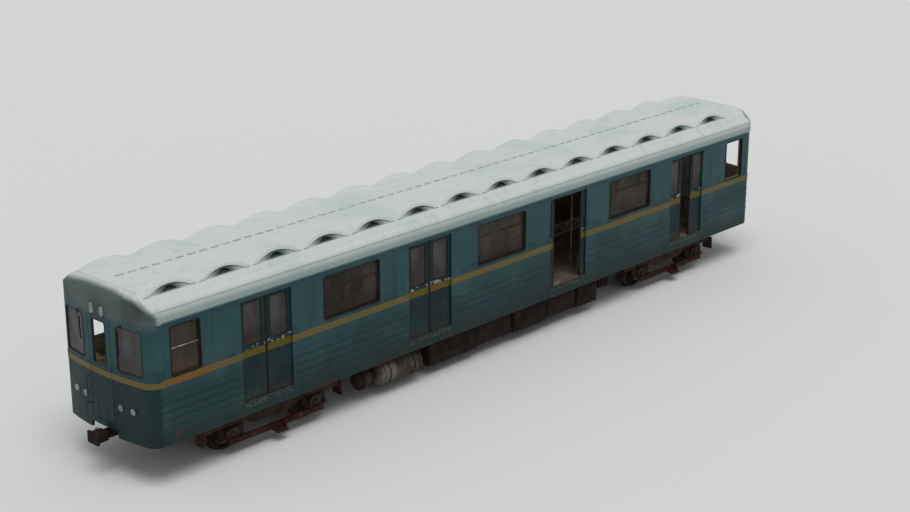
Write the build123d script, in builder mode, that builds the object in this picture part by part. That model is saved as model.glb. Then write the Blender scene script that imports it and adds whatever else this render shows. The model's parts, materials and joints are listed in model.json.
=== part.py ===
from build123d import *
from math import asin, cos, sin
import os

os.makedirs("parts", exist_ok=True)

# Metro car, all sizes in millimetres. +X is forward, towards the driver's cab,
# +Y is left and +Z is up. Z = 0 is the lowest point of the wheel flanges.

# Body shell
BODY_HALF_L = 9455.0                # centre of the bowed end
CORNER_X = BODY_HALF_L - 155.0      # where the bowed end would meet the side plane
SIDE_END_X = BODY_HALF_L - 405.0    # side walls end here and the end pieces wrap round
ROOF_END_X = BODY_HALF_L - 205.0    # the roof ends here and the forehead begins
HALF_W = 1350.0
PLAN_CORNER_R = 280.0
SKIRT_Z = 804.0
EAVES_Z = 3158.0          # top of the side walls, where the roof sits
SHELL_T = 60.0            # roof and ends
SEAM = 2.0                # joint between neighbouring sheets of one wall or of the roof

# Roof section, half of it
ROOF_Z = 3728.0
CROWN_Y, CROWN_Z = 860.0, 3706.0
COVE_Y, COVE_Z = 1160.0, 3480.0
SHOULDER_Y, SHOULDER_Z = 1312.0, 3380.0
SHOULDER_LOW_Z = 3210.0
CROWN_R = 70.0
DOME_R = 350.0            # rounding of the roof towards each end
DOME_RISE = 10.0          # the rounding's top stands this far above the ridge
ROOF_SEAM_Y = 1120.0      # joint between the crown sheet and the cove sheets
GUTTER_OUT = 10.0
GUTTER_H = 26.0

# Side walls: outer skin, pocket for the sliding leaves, inner lining
SKIN_OUT_Y = 1342.0
SKIN_T = 24.0
RIB_OUT = 8.0
RIB_H = 76.0
RIB_CENTRES_Z = (1215.0, 1372.0, 1529.0, 1686.0)
RIB_END_X = BODY_HALF_L - 270.0     # the ribs fade out on the corners
BELT_LOW_Z, BELT_HIGH_Z = 1946.0, 2078.0
SHEET_SPLIT_Z = 2030.0    # joint of lower and window panels, behind the belt
LINING_OUT_Y = 1262.0
LINING_T = 22.0
LEAF_MID_Y = 1290.0
LEAF_T = 36.0

# Doorways and windows
DOOR_PITCH = 4404.0
DOOR_CENTRES_X = (1.5 * DOOR_PITCH, 0.5 * DOOR_PITCH, -0.5 * DOOR_PITCH, -1.5 * DOOR_PITCH)
DOOR_HALF_W = 625.0
FLOOR_Z = 1050.0
FLOOR_T = 40.0
DOOR_TOP_Z = 3080.0
WINDOW_W, WINDOW_LOW_Z, WINDOW_HIGH_Z = 1500.0, 2160.0, 3040.0
WINDOW_CENTRES_X = (DOOR_PITCH, 0.0, -DOOR_PITCH)
END_WINDOW_X = 8520.0
END_WINDOW_W, END_WINDOW_LOW_Z, END_WINDOW_HIGH_Z = 680.0, 2105.0, 3060.0
WINDOW_R = 50.0
FRAME_T = 40.0            # window surround between skin and lining
PANE_T = 6.0
PANE_GAP = 1.0

# Sliding leaves
LEAF_GAP = 3.0            # from the doorway's centre to a closed leaf
LEAF_W = 655.0
LEAF_LOW_Z, LEAF_HIGH_Z = 1060.0, 3110.0
LEAF_WINDOW_W, LEAF_WINDOW_LOW_Z, LEAF_WINDOW_HIGH_Z = 430.0, 2170.0, 3010.0
LEAF_WINDOW_MID = 318.0   # from the meeting edge to the window's middle
# How far each pair stands open, by side and doorway counted from the cab.
LEAF_OPEN = {"left": (0.0, 0.0, 450.0, 170.0), "right": (0.0, 0.0, 0.0, 0.0)}

# End walls
SCREEN_IN_Y, SCREEN_OUT_Y = 500.0, 1120.0
SCREEN_LOW_Z, SCREEN_HIGH_Z = 2150.0, 3010.0
END_DOOR_HALF_W = 320.0
END_DOOR_GAP = 10.0
END_DOOR_LOW_Z, END_DOOR_HIGH_Z = 1060.0, 3060.0
END_DOOR_WINDOW_W = 400.0
HINGE_X, HINGE_Y = BODY_HALF_L - 87.0, 326.0
HINGE_R = 11.0
HINGE_ZS = (1350.0, 2060.0, 2780.0)
HINGE_PLATE_X, HINGE_PLATE_Y, HINGE_PLATE_T = 12.0, 24.0, 14.0
NOTCH_HALF_W, NOTCH_TOP_Z = 400.0, 936.0
LAMP_R = 50.0
LAMP_Z = 1440.0
LAMP_YS = (-850.0, -530.0, 530.0, 850.0)
TOP_LAMP_W, TOP_LAMP_H = 110.0, 200.0
TOP_LAMP_Z = 3212.0
TOP_LAMP_YS = (-150.0, 150.0)
LAMP_RIM = 14.0

# Running gear
BOGIE_X = 6300.0
WHEELBASE = 2100.0
WHEEL_R = 390.0
FLANGE_H = 28.0
AXLE_Z = WHEEL_R + FLANGE_H
BACK_TO_BACK = 1440.0
WHEEL_W = 130.0
AXLE_R = 78.0
JOURNAL_R = 62.0
JOURNAL_END_Y = 1090.0
BOX_IN_Y, BOX_OUT_Y = 960.0, 1130.0
BEAM_MID_Y, BEAM_T = 1010.0, 100.0
BEAM_LOW_Z, BEAM_HIGH_Z = 560.0, 700.0
BEAM_HALF_L = 1760.0

# Couplers
COUPLER_TIP_X = 9720.0
COUPLER_PIVOT_X = 8560.0
COUPLER_LOW_Z, COUPLER_HIGH_Z = 650.0, 890.0

# Roof scoops, one hood for each pitch along both slopes
SCOOP_COUNT = 14
SCOOP_PITCH = 1268.0
SCOOP_FIRST_X = 8560.0    # middle of the foremost hood
SCOOP_HALF_L = 600.0
SCOOP_IN_Y, SCOOP_LIP_Y, SCOOP_OUT_Y = 560.0, 955.0, 1045.0
SCOOP_TOP_Z = 3768.0
SCOOP_LOW_Z = 3480.0
MOUTH_HALF_L = 500.0
MOUTH_LOW_Z, MOUTH_HIGH_Z = 3585.0, 3720.0
MOUTH_BACK_Y = 850.0

BIG = 12000.0


def end_x(y):
    """X of the bowed end's outer face at a given y."""
    sagitta = BODY_HALF_L - CORNER_X
    radius = (HALF_W**2 + sagitta**2) / (2 * sagitta)
    return BODY_HALF_L - radius + (radius**2 - y**2) ** 0.5


def finish(part, name):
    part.label = name
    export_step(part, f"parts/{name}.step")


def body_form(inset):
    """Closed form of the body: section across, plan with bowed ends, domed roof ends."""
    half_w = HALF_W - inset
    crown = (CROWN_Y - 0.6 * inset, CROWN_Z - inset)
    cove = (COVE_Y - 0.8 * inset, COVE_Z - inset)
    shoulder = (SHOULDER_Y - inset, SHOULDER_Z - 0.6 * inset)
    eaves = (half_w, SHOULDER_LOW_Z)
    half_l = BODY_HALF_L - inset
    corner_x = CORNER_X - inset
    dome_r = DOME_R - 0.5 * inset
    roof_z = ROOF_Z - inset
    with BuildPart() as form:
        with BuildSketch(Plane.YZ):
            with BuildLine():
                Line((-half_w, 0), (half_w, 0))
                Line((half_w, 0), eaves)
                ThreePointArc(eaves, shoulder, cove)
                Line(cove, crown)
                ThreePointArc(crown, (0, roof_z), (-crown[0], crown[1]))
                Line((-crown[0], crown[1]), (-cove[0], cove[1]))
                ThreePointArc((-cove[0], cove[1]), (-shoulder[0], shoulder[1]), (-half_w, eaves[1]))
                Line((-half_w, eaves[1]), (-half_w, 0))
            make_face()
        extrude(amount=BIG, both=True)
        fillet(form.edges().filter_by(Axis.X).group_by(Axis.Z)[-1], radius=CROWN_R)
        with BuildSketch(Plane.XY):
            with BuildLine():
                ThreePointArc((corner_x, -half_w), (half_l, 0), (corner_x, half_w))
                Line((corner_x, half_w), (-corner_x, half_w))
                ThreePointArc((-corner_x, half_w), (-half_l, 0), (-corner_x, -half_w))
                Line((-corner_x, -half_w), (corner_x, -half_w))
            make_face()
            fillet(vertices(), radius=PLAN_CORNER_R - inset)
        extrude(amount=BIG, mode=Mode.INTERSECT)
        with BuildSketch(Plane.XZ):
            with Locations((0, (roof_z + DOME_RISE) / 2)):
                Rectangle(2 * half_l, roof_z + DOME_RISE)
            fillet(vertices().group_by(Axis.Z)[-1], radius=dome_r)
        extrude(amount=BIG, both=True, mode=Mode.INTERSECT)
    return form.part


outer_form = body_form(0)
body_shell = outer_form - body_form(SHELL_T)


# Roof: crown sheet and two cove sheets with domed ends, and a gutter along each side
with BuildPart() as roof:
    add(body_shell)
    with BuildSketch(Plane.XY.offset(EAVES_Z)):
        Rectangle(2 * ROOF_END_X, 2 * BIG)
    extrude(amount=BIG, mode=Mode.INTERSECT)
    with BuildSketch(Plane.YZ):
        for side in (-1, 1):
            with Locations((side * (HALF_W + GUTTER_OUT / 2), EAVES_Z + GUTTER_H / 2)):
                Rectangle(GUTTER_OUT, GUTTER_H)
    extrude(amount=SIDE_END_X, both=True)
    with BuildSketch(Plane.YZ):
        with Locations((-ROOF_SEAM_Y, ROOF_Z), (ROOF_SEAM_Y, ROOF_Z)):
            Rectangle(SEAM, 2 * (ROOF_Z - EAVES_Z))
    extrude(amount=BIG, both=True, mode=Mode.SUBTRACT)
finish(roof.part, "roof")


# Roof scoops: an arched hood with a wide mouth that looks down the roof's slope
def arch(half_l, low_z, high_z):
    """Sketch of an arch standing on a straight base, seen along the roof's cross axis."""
    with BuildSketch(Plane.XZ.offset(-SCOOP_OUT_Y - 20)) as outline:
        with BuildLine():
            ThreePointArc((-half_l, low_z), (0, high_z), (half_l, low_z))
            Line((half_l, low_z), (-half_l, low_z))
        make_face()
    return outline.sketch


with BuildPart() as hood:
    extrude(arch(SCOOP_HALF_L, CROWN_Z - 106, SCOOP_TOP_Z), amount=BIG / 10)
    with BuildSketch(Plane.YZ):
        with BuildLine():
            Polyline(
                (SCOOP_IN_Y, ROOF_Z - 12),
                (SCOOP_IN_Y + 240, SCOOP_TOP_Z),
                (SCOOP_LIP_Y, SCOOP_TOP_Z),
                (SCOOP_OUT_Y, MOUTH_LOW_Z - 20),
                (SCOOP_OUT_Y, SCOOP_LOW_Z),
                (SCOOP_IN_Y, SCOOP_LOW_Z),
                close=True,
            )
        make_face()
    extrude(amount=SCOOP_HALF_L, both=True, mode=Mode.INTERSECT)
    extrude(
        arch(MOUTH_HALF_L, MOUTH_LOW_Z, MOUTH_HIGH_Z),
        amount=SCOOP_OUT_Y + 20 - MOUTH_BACK_Y,
        mode=Mode.SUBTRACT,
    )
hood_form = hood.part - outer_form
scoop_xs = [SCOOP_FIRST_X - i * SCOOP_PITCH for i in range(SCOOP_COUNT)]
with BuildPart() as roof_scoops:
    with Locations(*[(x, 0, 0) for x in scoop_xs]):
        add(hood_form)
    mirror(about=Plane.XZ)
finish(roof_scoops.part, "roof_scoops")


# Places along the sides
def panel_runs():
    """Start and end x of each stretch of wall between the doorways."""
    edges = [SIDE_END_X]
    for x in DOOR_CENTRES_X:
        edges += [x + DOOR_HALF_W, x - DOOR_HALF_W]
    edges.append(-SIDE_END_X)
    return list(zip(edges[0::2], edges[1::2]))


def window_places():
    """Centre x, width and height limits of each side window."""
    rows = [(x, WINDOW_W, WINDOW_LOW_Z, WINDOW_HIGH_Z) for x in WINDOW_CENTRES_X]
    for x in (END_WINDOW_X, -END_WINDOW_X):
        rows.append((x, END_WINDOW_W, END_WINDOW_LOW_Z, END_WINDOW_HIGH_Z))
    return rows


def glazed_places():
    """Side and window place of each side window that still has its pane."""
    rows = []
    for side in (-1, 1):
        for place in window_places():
            rear_left = side > 0 and place[0] == -END_WINDOW_X
            cab_right = side < 0 and place[0] == END_WINDOW_X
            if not rear_left and not cab_right:
                rows.append((side, *place))
    return rows


def wall_sheets(out_y, thickness):
    """Sheets of the left wall above the floor, from out_y inwards, with the windows cut."""
    lower_h = SHEET_SPLIT_Z - SEAM - FLOOR_Z
    upper_h = DOOR_TOP_Z - SEAM - SHEET_SPLIT_Z
    with BuildSketch(Plane.XZ.offset(-out_y)) as outline:
        for start, end in panel_runs():
            mid_x = (start + end) / 2
            with Locations((mid_x, FLOOR_Z + lower_h / 2)):
                Rectangle(start - end, lower_h)
            with Locations((mid_x, SHEET_SPLIT_Z + upper_h / 2)):
                Rectangle(start - end, upper_h)
        with Locations((0, (DOOR_TOP_Z + EAVES_Z) / 2)):
            Rectangle(2 * SIDE_END_X, EAVES_Z - DOOR_TOP_Z)
        for x, width, low, high in window_places():
            with Locations((x, (low + high) / 2)):
                RectangleRounded(width, high - low, WINDOW_R, mode=Mode.SUBTRACT)
    return extrude(outline.sketch, amount=thickness)


# Side walls: skirt, ribbed lower panels, window panels and the strip over the doorways
with BuildPart() as side_wall_left:
    add(wall_sheets(SKIN_OUT_Y, SKIN_T))
    with BuildSketch(Plane.XZ.offset(-SKIN_OUT_Y)):
        with Locations((0, (SKIRT_Z + FLOOR_Z - SEAM) / 2)):
            Rectangle(2 * SIDE_END_X, FLOOR_Z - SEAM - SKIRT_Z)
    extrude(amount=SKIN_T)
    for start, end in panel_runs():
        with BuildSketch(Plane.YZ.offset(end)):
            for rib_z in RIB_CENTRES_Z:
                with BuildLine():
                    Polyline(
                        (SKIN_OUT_Y - 1, rib_z - RIB_H / 2),
                        (SKIN_OUT_Y + RIB_OUT, rib_z - RIB_H / 2 + RIB_OUT),
                        (SKIN_OUT_Y + RIB_OUT, rib_z + RIB_H / 2 - RIB_OUT),
                        (SKIN_OUT_Y - 1, rib_z + RIB_H / 2),
                        close=True,
                    )
                make_face()
        extrude(amount=start - end)
finish(side_wall_left.part, "side_wall_left")

with BuildPart() as side_wall_right:
    mirror(side_wall_left.part, about=Plane.XZ)
finish(side_wall_right.part, "side_wall_right")


# Inner linings, with the same sheets and windows
with BuildPart() as lining_left:
    add(wall_sheets(LINING_OUT_Y, LINING_T))
finish(lining_left.part, "lining_left")

with BuildPart() as lining_right:
    mirror(lining_left.part, about=Plane.XZ)
finish(lining_right.part, "lining_right")


# Window surrounds between skin and lining, four bars each, and a bar across each pane
POCKET_OUT_Y = SKIN_OUT_Y - SKIN_T
PANE_Y = (LINING_OUT_Y + POCKET_OUT_Y) / 2
FRAME_JOINT = 1.0
CROSSBAR_H, CROSSBAR_T = 34.0, 12.0
CROSSBAR_Z, END_CROSSBAR_Z = 2765.0, 2630.0
with BuildPart() as window_frames:
    for x, width, low, high in window_places():
        with BuildSketch(Plane.XZ.offset(-POCKET_OUT_Y)):
            with Locations((x, low - FRAME_T / 2), (x, high + FRAME_T / 2)):
                Rectangle(width + 2 * FRAME_T, FRAME_T)
            shift = (width + FRAME_T) / 2
            with Locations((x - shift, (low + high) / 2), (x + shift, (low + high) / 2)):
                Rectangle(FRAME_T, high - low - 2 * FRAME_JOINT)
        extrude(amount=POCKET_OUT_Y - LINING_OUT_Y)
    mirror(about=Plane.XZ)
    for side, x, width, low, high in glazed_places():
        bar_z = END_CROSSBAR_Z if abs(x) == END_WINDOW_X else CROSSBAR_Z
        bar_in_y = PANE_Y + PANE_T / 2 + FRAME_JOINT
        with BuildSketch(Plane.XY.offset(bar_z - CROSSBAR_H / 2)):
            with Locations((x, side * (bar_in_y + CROSSBAR_T / 2))):
                Rectangle(width - 2 * FRAME_JOINT, CROSSBAR_T)
        extrude(amount=CROSSBAR_H)
finish(window_frames.part, "window_frames")

with BuildPart() as side_glass:
    for side, x, width, low, high in glazed_places():
        with BuildSketch(Plane.XZ.offset(-side * PANE_Y)):
            with Locations((x, (low + high) / 2)):
                Rectangle(width - 2 * PANE_GAP, high - low - 2 * PANE_GAP)
        extrude(amount=PANE_T / 2, both=True)
finish(side_glass.part, "side_glass")


# Belt mouldings along the sides, broken at the doorways
with BuildPart() as belt_mouldings:
    for start, end in panel_runs():
        with BuildSketch(Plane.YZ.offset(end)):
            with BuildLine():
                Polyline(
                    (SKIN_OUT_Y, BELT_LOW_Z),
                    (SKIN_OUT_Y + RIB_OUT, BELT_LOW_Z + RIB_OUT),
                    (SKIN_OUT_Y + RIB_OUT, BELT_HIGH_Z - RIB_OUT),
                    (SKIN_OUT_Y, BELT_HIGH_Z),
                    close=True,
                )
            make_face()
        extrude(amount=start - end)
    mirror(about=Plane.XZ)
finish(belt_mouldings.part, "belt_mouldings")


# Skin of the ends, set back by a rib's depth, with the belt and the ribs raised on it
with BuildPart() as end_form:
    with BuildSketch(Plane.XZ):
        with Locations((0, (BELT_LOW_Z + BELT_HIGH_Z) / 2)):
            Rectangle(2 * BIG, BELT_HIGH_Z - BELT_LOW_Z)
        with Locations(*[(0, z) for z in RIB_CENTRES_Z]):
            Rectangle(2 * RIB_END_X, RIB_H - RIB_OUT)
    extrude(amount=BIG, both=True)
    add(outer_form, mode=Mode.INTERSECT)
    add(body_form(RIB_OUT))
inner_form = body_form(SHELL_T)
end_shell = end_form.part - inner_form


# Ends: bowed walls with two screens, a doorway and a notch for the coupler
def end_wall(front):
    direction = 1 if front else -1
    with BuildPart() as wall:
        add(end_shell)
        with BuildSketch(Plane.XZ.offset(-BIG / 2)):
            low_mid_x = direction * (SIDE_END_X + BIG) / 2
            with Locations((low_mid_x, (SKIRT_Z + EAVES_Z) / 2)):
                Rectangle(BIG - SIDE_END_X, EAVES_Z - SKIRT_Z)
            high_mid_x = direction * (ROOF_END_X + BIG) / 2
            with Locations((high_mid_x, EAVES_Z + 500)):
                Rectangle(BIG - ROOF_END_X, 1000)
        extrude(amount=BIG, mode=Mode.INTERSECT)
        with BuildSketch(Plane.YZ.offset(direction * ROOF_END_X)):
            screen_mid_y = (SCREEN_IN_Y + SCREEN_OUT_Y) / 2
            screen_mid_z = (SCREEN_LOW_Z + SCREEN_HIGH_Z) / 2
            with Locations((-screen_mid_y, screen_mid_z), (screen_mid_y, screen_mid_z)):
                RectangleRounded(SCREEN_OUT_Y - SCREEN_IN_Y, SCREEN_HIGH_Z - SCREEN_LOW_Z, WINDOW_R)
            door_w = 2 * (END_DOOR_HALF_W + END_DOOR_GAP)
            door_low = END_DOOR_LOW_Z - END_DOOR_GAP
            door_high = END_DOOR_HIGH_Z + END_DOOR_GAP
            with Locations((0, (door_low + door_high) / 2)):
                Rectangle(door_w, door_high - door_low)
            with Locations((0, NOTCH_TOP_Z - 200)):
                Rectangle(2 * NOTCH_HALF_W, 400)
            if front:
                with Locations(*[(y, LAMP_Z) for y in LAMP_YS]):
                    Circle(LAMP_R)
                with Locations(*[(y, TOP_LAMP_Z) for y in TOP_LAMP_YS]):
                    SlotOverall(TOP_LAMP_H - 2 * LAMP_RIM, TOP_LAMP_W - 2 * LAMP_RIM, rotation=90)
        extrude(amount=direction * 400, mode=Mode.SUBTRACT)
    return wall.part


def hinge_knuckles(x, y, leaf_x, leaf_y):
    """Three hinge barrels on the line x, y, each with a plate reaching onto the leaf."""
    with BuildPart() as knuckles:
        for z in HINGE_ZS:
            with BuildSketch(Plane.XY.offset(z - 60)):
                with Locations((x, y)):
                    Circle(HINGE_R)
                with Locations((x + leaf_x * HINGE_PLATE_X, y + leaf_y * HINGE_PLATE_Y)):
                    Rectangle(HINGE_PLATE_T, 2 * HINGE_PLATE_Y)
            extrude(amount=120)
    return knuckles.part


def end_door(front):
    """Centre door cut from the same bowed wall, with its window."""
    direction = 1 if front else -1
    with BuildPart() as door:
        add(end_shell)
        with BuildSketch(Plane.YZ.offset(direction * ROOF_END_X)):
            with Locations((0, (END_DOOR_LOW_Z + END_DOOR_HIGH_Z) / 2)):
                Rectangle(2 * END_DOOR_HALF_W, END_DOOR_HIGH_Z - END_DOOR_LOW_Z)
            with Locations((0, (SCREEN_LOW_Z + SCREEN_HIGH_Z) / 2)):
                RectangleRounded(
                    END_DOOR_WINDOW_W, SCREEN_HIGH_Z - SCREEN_LOW_Z, WINDOW_R, mode=Mode.SUBTRACT
                )
        extrude(amount=direction * 400, mode=Mode.INTERSECT)
        add(hinge_knuckles(direction * HINGE_X, direction * HINGE_Y, direction, -direction))
    return door.part


cab_end = end_wall(True)
finish(cab_end, "cab_end")
rear_end = end_wall(False)
finish(rear_end, "rear_end")
cab_door = end_door(True)
finish(cab_door, "cab_door")
rear_door = end_door(False)
finish(rear_door, "rear_door")

# Panes of the end screens, each flat and turned to the bow; the rear left one is missing
SCREEN_MID_Y = (SCREEN_IN_Y + SCREEN_OUT_Y) / 2
SCREEN_TURN = 0.136       # slope of the bow at the middle of a screen
with BuildPart() as end_glass:
    for direction, side in ((1, -1), (1, 1), (-1, -1)):
        plane = Plane(
            origin=(
                direction * (end_x(SCREEN_MID_Y) - (RIB_OUT + SHELL_T) / 2),
                side * SCREEN_MID_Y,
                (SCREEN_LOW_Z + SCREEN_HIGH_Z) / 2,
            ),
            x_dir=(SCREEN_TURN * side, -direction, 0),
            z_dir=(direction, SCREEN_TURN * side, 0),
        )
        with BuildSketch(plane):
            RectangleRounded(
                SCREEN_OUT_Y - SCREEN_IN_Y - 8, SCREEN_HIGH_Z - SCREEN_LOW_Z - 4, WINDOW_R
            )
        extrude(amount=PANE_T / 2, both=True)
finish(end_glass.part, "end_glass")


# Lamps in the cab end, each a barrel through the wall behind a lens
LENS_EDGE, LENS_RISE = 12.0, 12.0
BARREL_L = 90.0


def cap_mid(tip, rise, radius):
    """Middle point of a spherical cap's half outline; the cap's centre is on the axis."""
    sphere_r = (radius**2 + rise**2) / (2 * rise)
    half_angle = asin(radius / sphere_r) / 2
    return tip - sphere_r * (1 - cos(half_angle)), sphere_r * sin(half_angle)


with BuildPart() as headlamps:
    rim_r = LAMP_R + LAMP_RIM
    tip = LENS_EDGE + LENS_RISE
    for y in LAMP_YS:
        face_x = end_x(abs(y) - rim_r) - RIB_OUT + 2
        axis_plane = Plane(origin=(face_x, y, LAMP_Z), x_dir=(1, 0, 0), z_dir=(0, -1, 0))
        with BuildSketch(axis_plane):
            with BuildLine():
                Polyline(
                    (tip, 0),
                    (-BARREL_L, 0),
                    (-BARREL_L, LAMP_R - 1),
                    (0, LAMP_R - 1),
                    (0, rim_r),
                    (LENS_EDGE, rim_r),
                )
                ThreePointArc((LENS_EDGE, rim_r), cap_mid(tip, LENS_RISE, rim_r), (tip, 0))
            make_face()
        revolve(axis=Axis((face_x, y, LAMP_Z), (1, 0, 0)))
finish(headlamps.part, "headlamps")

with BuildPart() as top_lamps:
    face_x = end_x(TOP_LAMP_YS[1] - TOP_LAMP_W / 2) - RIB_OUT + 2
    places = [(y, TOP_LAMP_Z) for y in TOP_LAMP_YS]
    with BuildSketch(Plane.YZ.offset(face_x)):
        with Locations(*places):
            SlotOverall(TOP_LAMP_H, TOP_LAMP_W, rotation=90)
    extrude(amount=LENS_EDGE + LENS_RISE)
    fillet(top_lamps.faces().sort_by(Axis.X)[-2:].edges(), radius=LENS_RISE)
    with BuildSketch(Plane.YZ.offset(face_x - BARREL_L)):
        with Locations(*places):
            SlotOverall(TOP_LAMP_H - 2 * LAMP_RIM - 2, TOP_LAMP_W - 2 * LAMP_RIM - 2, rotation=90)
    extrude(amount=BARREL_L)
finish(top_lamps.part, "top_lamps")


# Floor and ceiling
with BuildPart() as floor:
    add(inner_form)
    with BuildSketch(Plane.XY.offset(FLOOR_Z - FLOOR_T)):
        Rectangle(2 * BIG, 2 * BIG)
    extrude(amount=FLOOR_T, mode=Mode.INTERSECT)
    with BuildSketch(Plane.XY.offset(FLOOR_Z - FLOOR_T)):
        Rectangle(2 * SIDE_END_X, 2 * POCKET_OUT_Y)
    extrude(amount=FLOOR_T)
finish(floor.part, "floor")

CEILING_EDGE_Z, CEILING_MID_Z, CEILING_T = 3100.0, 3290.0, 18.0
CEILING_HALF_W = LINING_OUT_Y - LINING_T
CEILING_END_X = BODY_HALF_L - 385.0
CEILING_SEAM_YS = (-744.0, -248.0, 248.0, 744.0)


def ceiling_arc(left_to_right, rise):
    """The ceiling's arc, raised by rise, from the left edge to the right one or back."""
    half_w = -CEILING_HALF_W if left_to_right else CEILING_HALF_W
    edge_z = CEILING_EDGE_Z + rise
    return ThreePointArc((half_w, edge_z), (0, CEILING_MID_Z + rise), (-half_w, edge_z))


with BuildPart() as ceiling:
    with BuildSketch(Plane.YZ):
        with BuildLine():
            low = ceiling_arc(True, 0)
            Line(low @ 1, low @ 1 + (0, CEILING_T))
            high = ceiling_arc(False, CEILING_T)
            Line(high @ 1, low @ 0)
        make_face()
        with Locations(*[(y, CEILING_MID_Z) for y in CEILING_SEAM_YS]):
            Rectangle(SEAM, CEILING_MID_Z - CEILING_EDGE_Z, mode=Mode.SUBTRACT)
    extrude(amount=CEILING_END_X, both=True)
finish(ceiling.part, "ceiling")


# Cab partition with its door, the driver's desk and seat
PARTITION_X, PARTITION_T = 7900.0, 40.0
CAB_DOORWAY_HALF_W, CAB_DOORWAY_TOP_Z = 330.0, 2900.0
CAB_DOORWAY_Y = 350.0
CAB_DOOR_GAP = 8.0
with BuildPart() as cab_partition:
    with BuildSketch(Plane.YZ.offset(PARTITION_X)):
        with BuildLine():
            Polyline(
                (-CEILING_HALF_W, CEILING_EDGE_Z),
                (-CEILING_HALF_W, FLOOR_Z),
                (CEILING_HALF_W, FLOOR_Z),
                (CEILING_HALF_W, CEILING_EDGE_Z),
            )
            ceiling_arc(False, 0)
        make_face()
        with Locations((CAB_DOORWAY_Y, (FLOOR_Z + CAB_DOORWAY_TOP_Z) / 2)):
            Rectangle(2 * CAB_DOORWAY_HALF_W, CAB_DOORWAY_TOP_Z - FLOOR_Z, mode=Mode.SUBTRACT)
    extrude(amount=PARTITION_T / 2, both=True)
finish(cab_partition.part, "cab_partition")

with BuildPart() as partition_door:
    with BuildSketch(Plane.YZ.offset(PARTITION_X)):
        with Locations((CAB_DOORWAY_Y, (FLOOR_Z + CAB_DOORWAY_TOP_Z) / 2)):
            Rectangle(
                2 * (CAB_DOORWAY_HALF_W - CAB_DOOR_GAP),
                CAB_DOORWAY_TOP_Z - FLOOR_Z - 2 * CAB_DOOR_GAP,
            )
    extrude(amount=PARTITION_T / 2, both=True)
    hinge_x = PARTITION_X + PARTITION_T / 2 + 17
    hinge_y = CAB_DOORWAY_Y + CAB_DOORWAY_HALF_W - 4
    add(hinge_knuckles(hinge_x, hinge_y, -1, -1))
finish(partition_door.part, "partition_door")

DESK_X = BODY_HALF_L - 205.0        # desk's front, against the cab end
SEAT_X, SEAT_Y = 8380.0, -700.0     # driver's seat
SEAT_PAN_Z = FLOOR_Z + 400.0
with BuildPart() as cab_desk:
    with BuildSketch(Plane.XZ.offset(420)):
        with BuildLine():
            Polyline(
                (DESK_X, FLOOR_Z),
                (DESK_X, 2060),
                (DESK_X - 160, 2060),
                (DESK_X - 480, 1900),
                (DESK_X - 480, 1840),
                (DESK_X - 280, 1800),
                (DESK_X - 220, FLOOR_Z),
                close=True,
            )
        make_face()
    extrude(amount=700)
    with BuildSketch(Plane.XY.offset(FLOOR_Z)):
        with Locations((SEAT_X, SEAT_Y)):
            Circle(60)
    extrude(amount=SEAT_PAN_Z - FLOOR_Z)
    with BuildSketch(Plane.XY.offset(SEAT_PAN_Z)):
        with Locations((SEAT_X, SEAT_Y)):
            RectangleRounded(420, 420, 60)
    extrude(amount=90)
    with BuildSketch(Plane.XY.offset(SEAT_PAN_Z)):
        with Locations((SEAT_X - 190, SEAT_Y)):
            Rectangle(60, 400)
    extrude(amount=500)
finish(cab_desk.part, "cab_desk")


# Seats along both sides between the doorways: middle x and half length of each row
SEAT_ROWS = ((DOOR_PITCH, 1380.0), (0.0, 1380.0), (-DOOR_PITCH, 1380.0), (-8240.0, 700.0))
with BuildPart() as seats:
    for x, half_l in SEAT_ROWS:
        with BuildSketch(Plane.YZ.offset(x)):
            with BuildLine():
                Polyline(
                    (LINING_OUT_Y - LINING_T, FLOOR_Z),
                    (960, FLOOR_Z),
                    (880, FLOOR_Z + 340),
                    (800, FLOOR_Z + 350),
                    (800, FLOOR_Z + 430),
                    (1120, FLOOR_Z + 410),
                    (1180, FLOOR_Z + 880),
                    (LINING_OUT_Y - LINING_T, FLOOR_Z + 880),
                    close=True,
                )
            make_face()
        extrude(amount=half_l, both=True)
    mirror(about=Plane.XZ)
finish(seats.part, "seats")


# Grab rails: overhead rails with hangers, and upright poles beside the doorways
RAIL_R = 18.0
POLE_R = 15.0
HANGER_R = 12.0
RAIL_Y, RAIL_Z = 800.0, 2980.0
RAIL_HALF_L = 7500.0
POLE_FROM_DOOR = 760.0
HANGER_XS = (-7000.0, -4404.0, -2202.0, 0.0, 2202.0, 4404.0, 7000.0)
with BuildPart() as grab_rails:
    with BuildSketch(Plane.YZ):
        with Locations((RAIL_Y, RAIL_Z)):
            Circle(RAIL_R)
    extrude(amount=RAIL_HALF_L, both=True)
    with BuildSketch(Plane.XY.offset(FLOOR_Z)):
        for door_x in DOOR_CENTRES_X:
            with Locations((door_x - POLE_FROM_DOOR, RAIL_Y), (door_x + POLE_FROM_DOOR, RAIL_Y)):
                Circle(POLE_R)
    extrude(amount=RAIL_Z - RAIL_R - 1 - FLOOR_Z)
    with BuildSketch(Plane.XY.offset(RAIL_Z + RAIL_R + 1)):
        with Locations(*[(x, RAIL_Y) for x in HANGER_XS]):
            Circle(HANGER_R)
    extrude(amount=CEILING_EDGE_Z + 70 - RAIL_Z - RAIL_R)
    mirror(about=Plane.XZ)
finish(grab_rails.part, "grab_rails")


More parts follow.
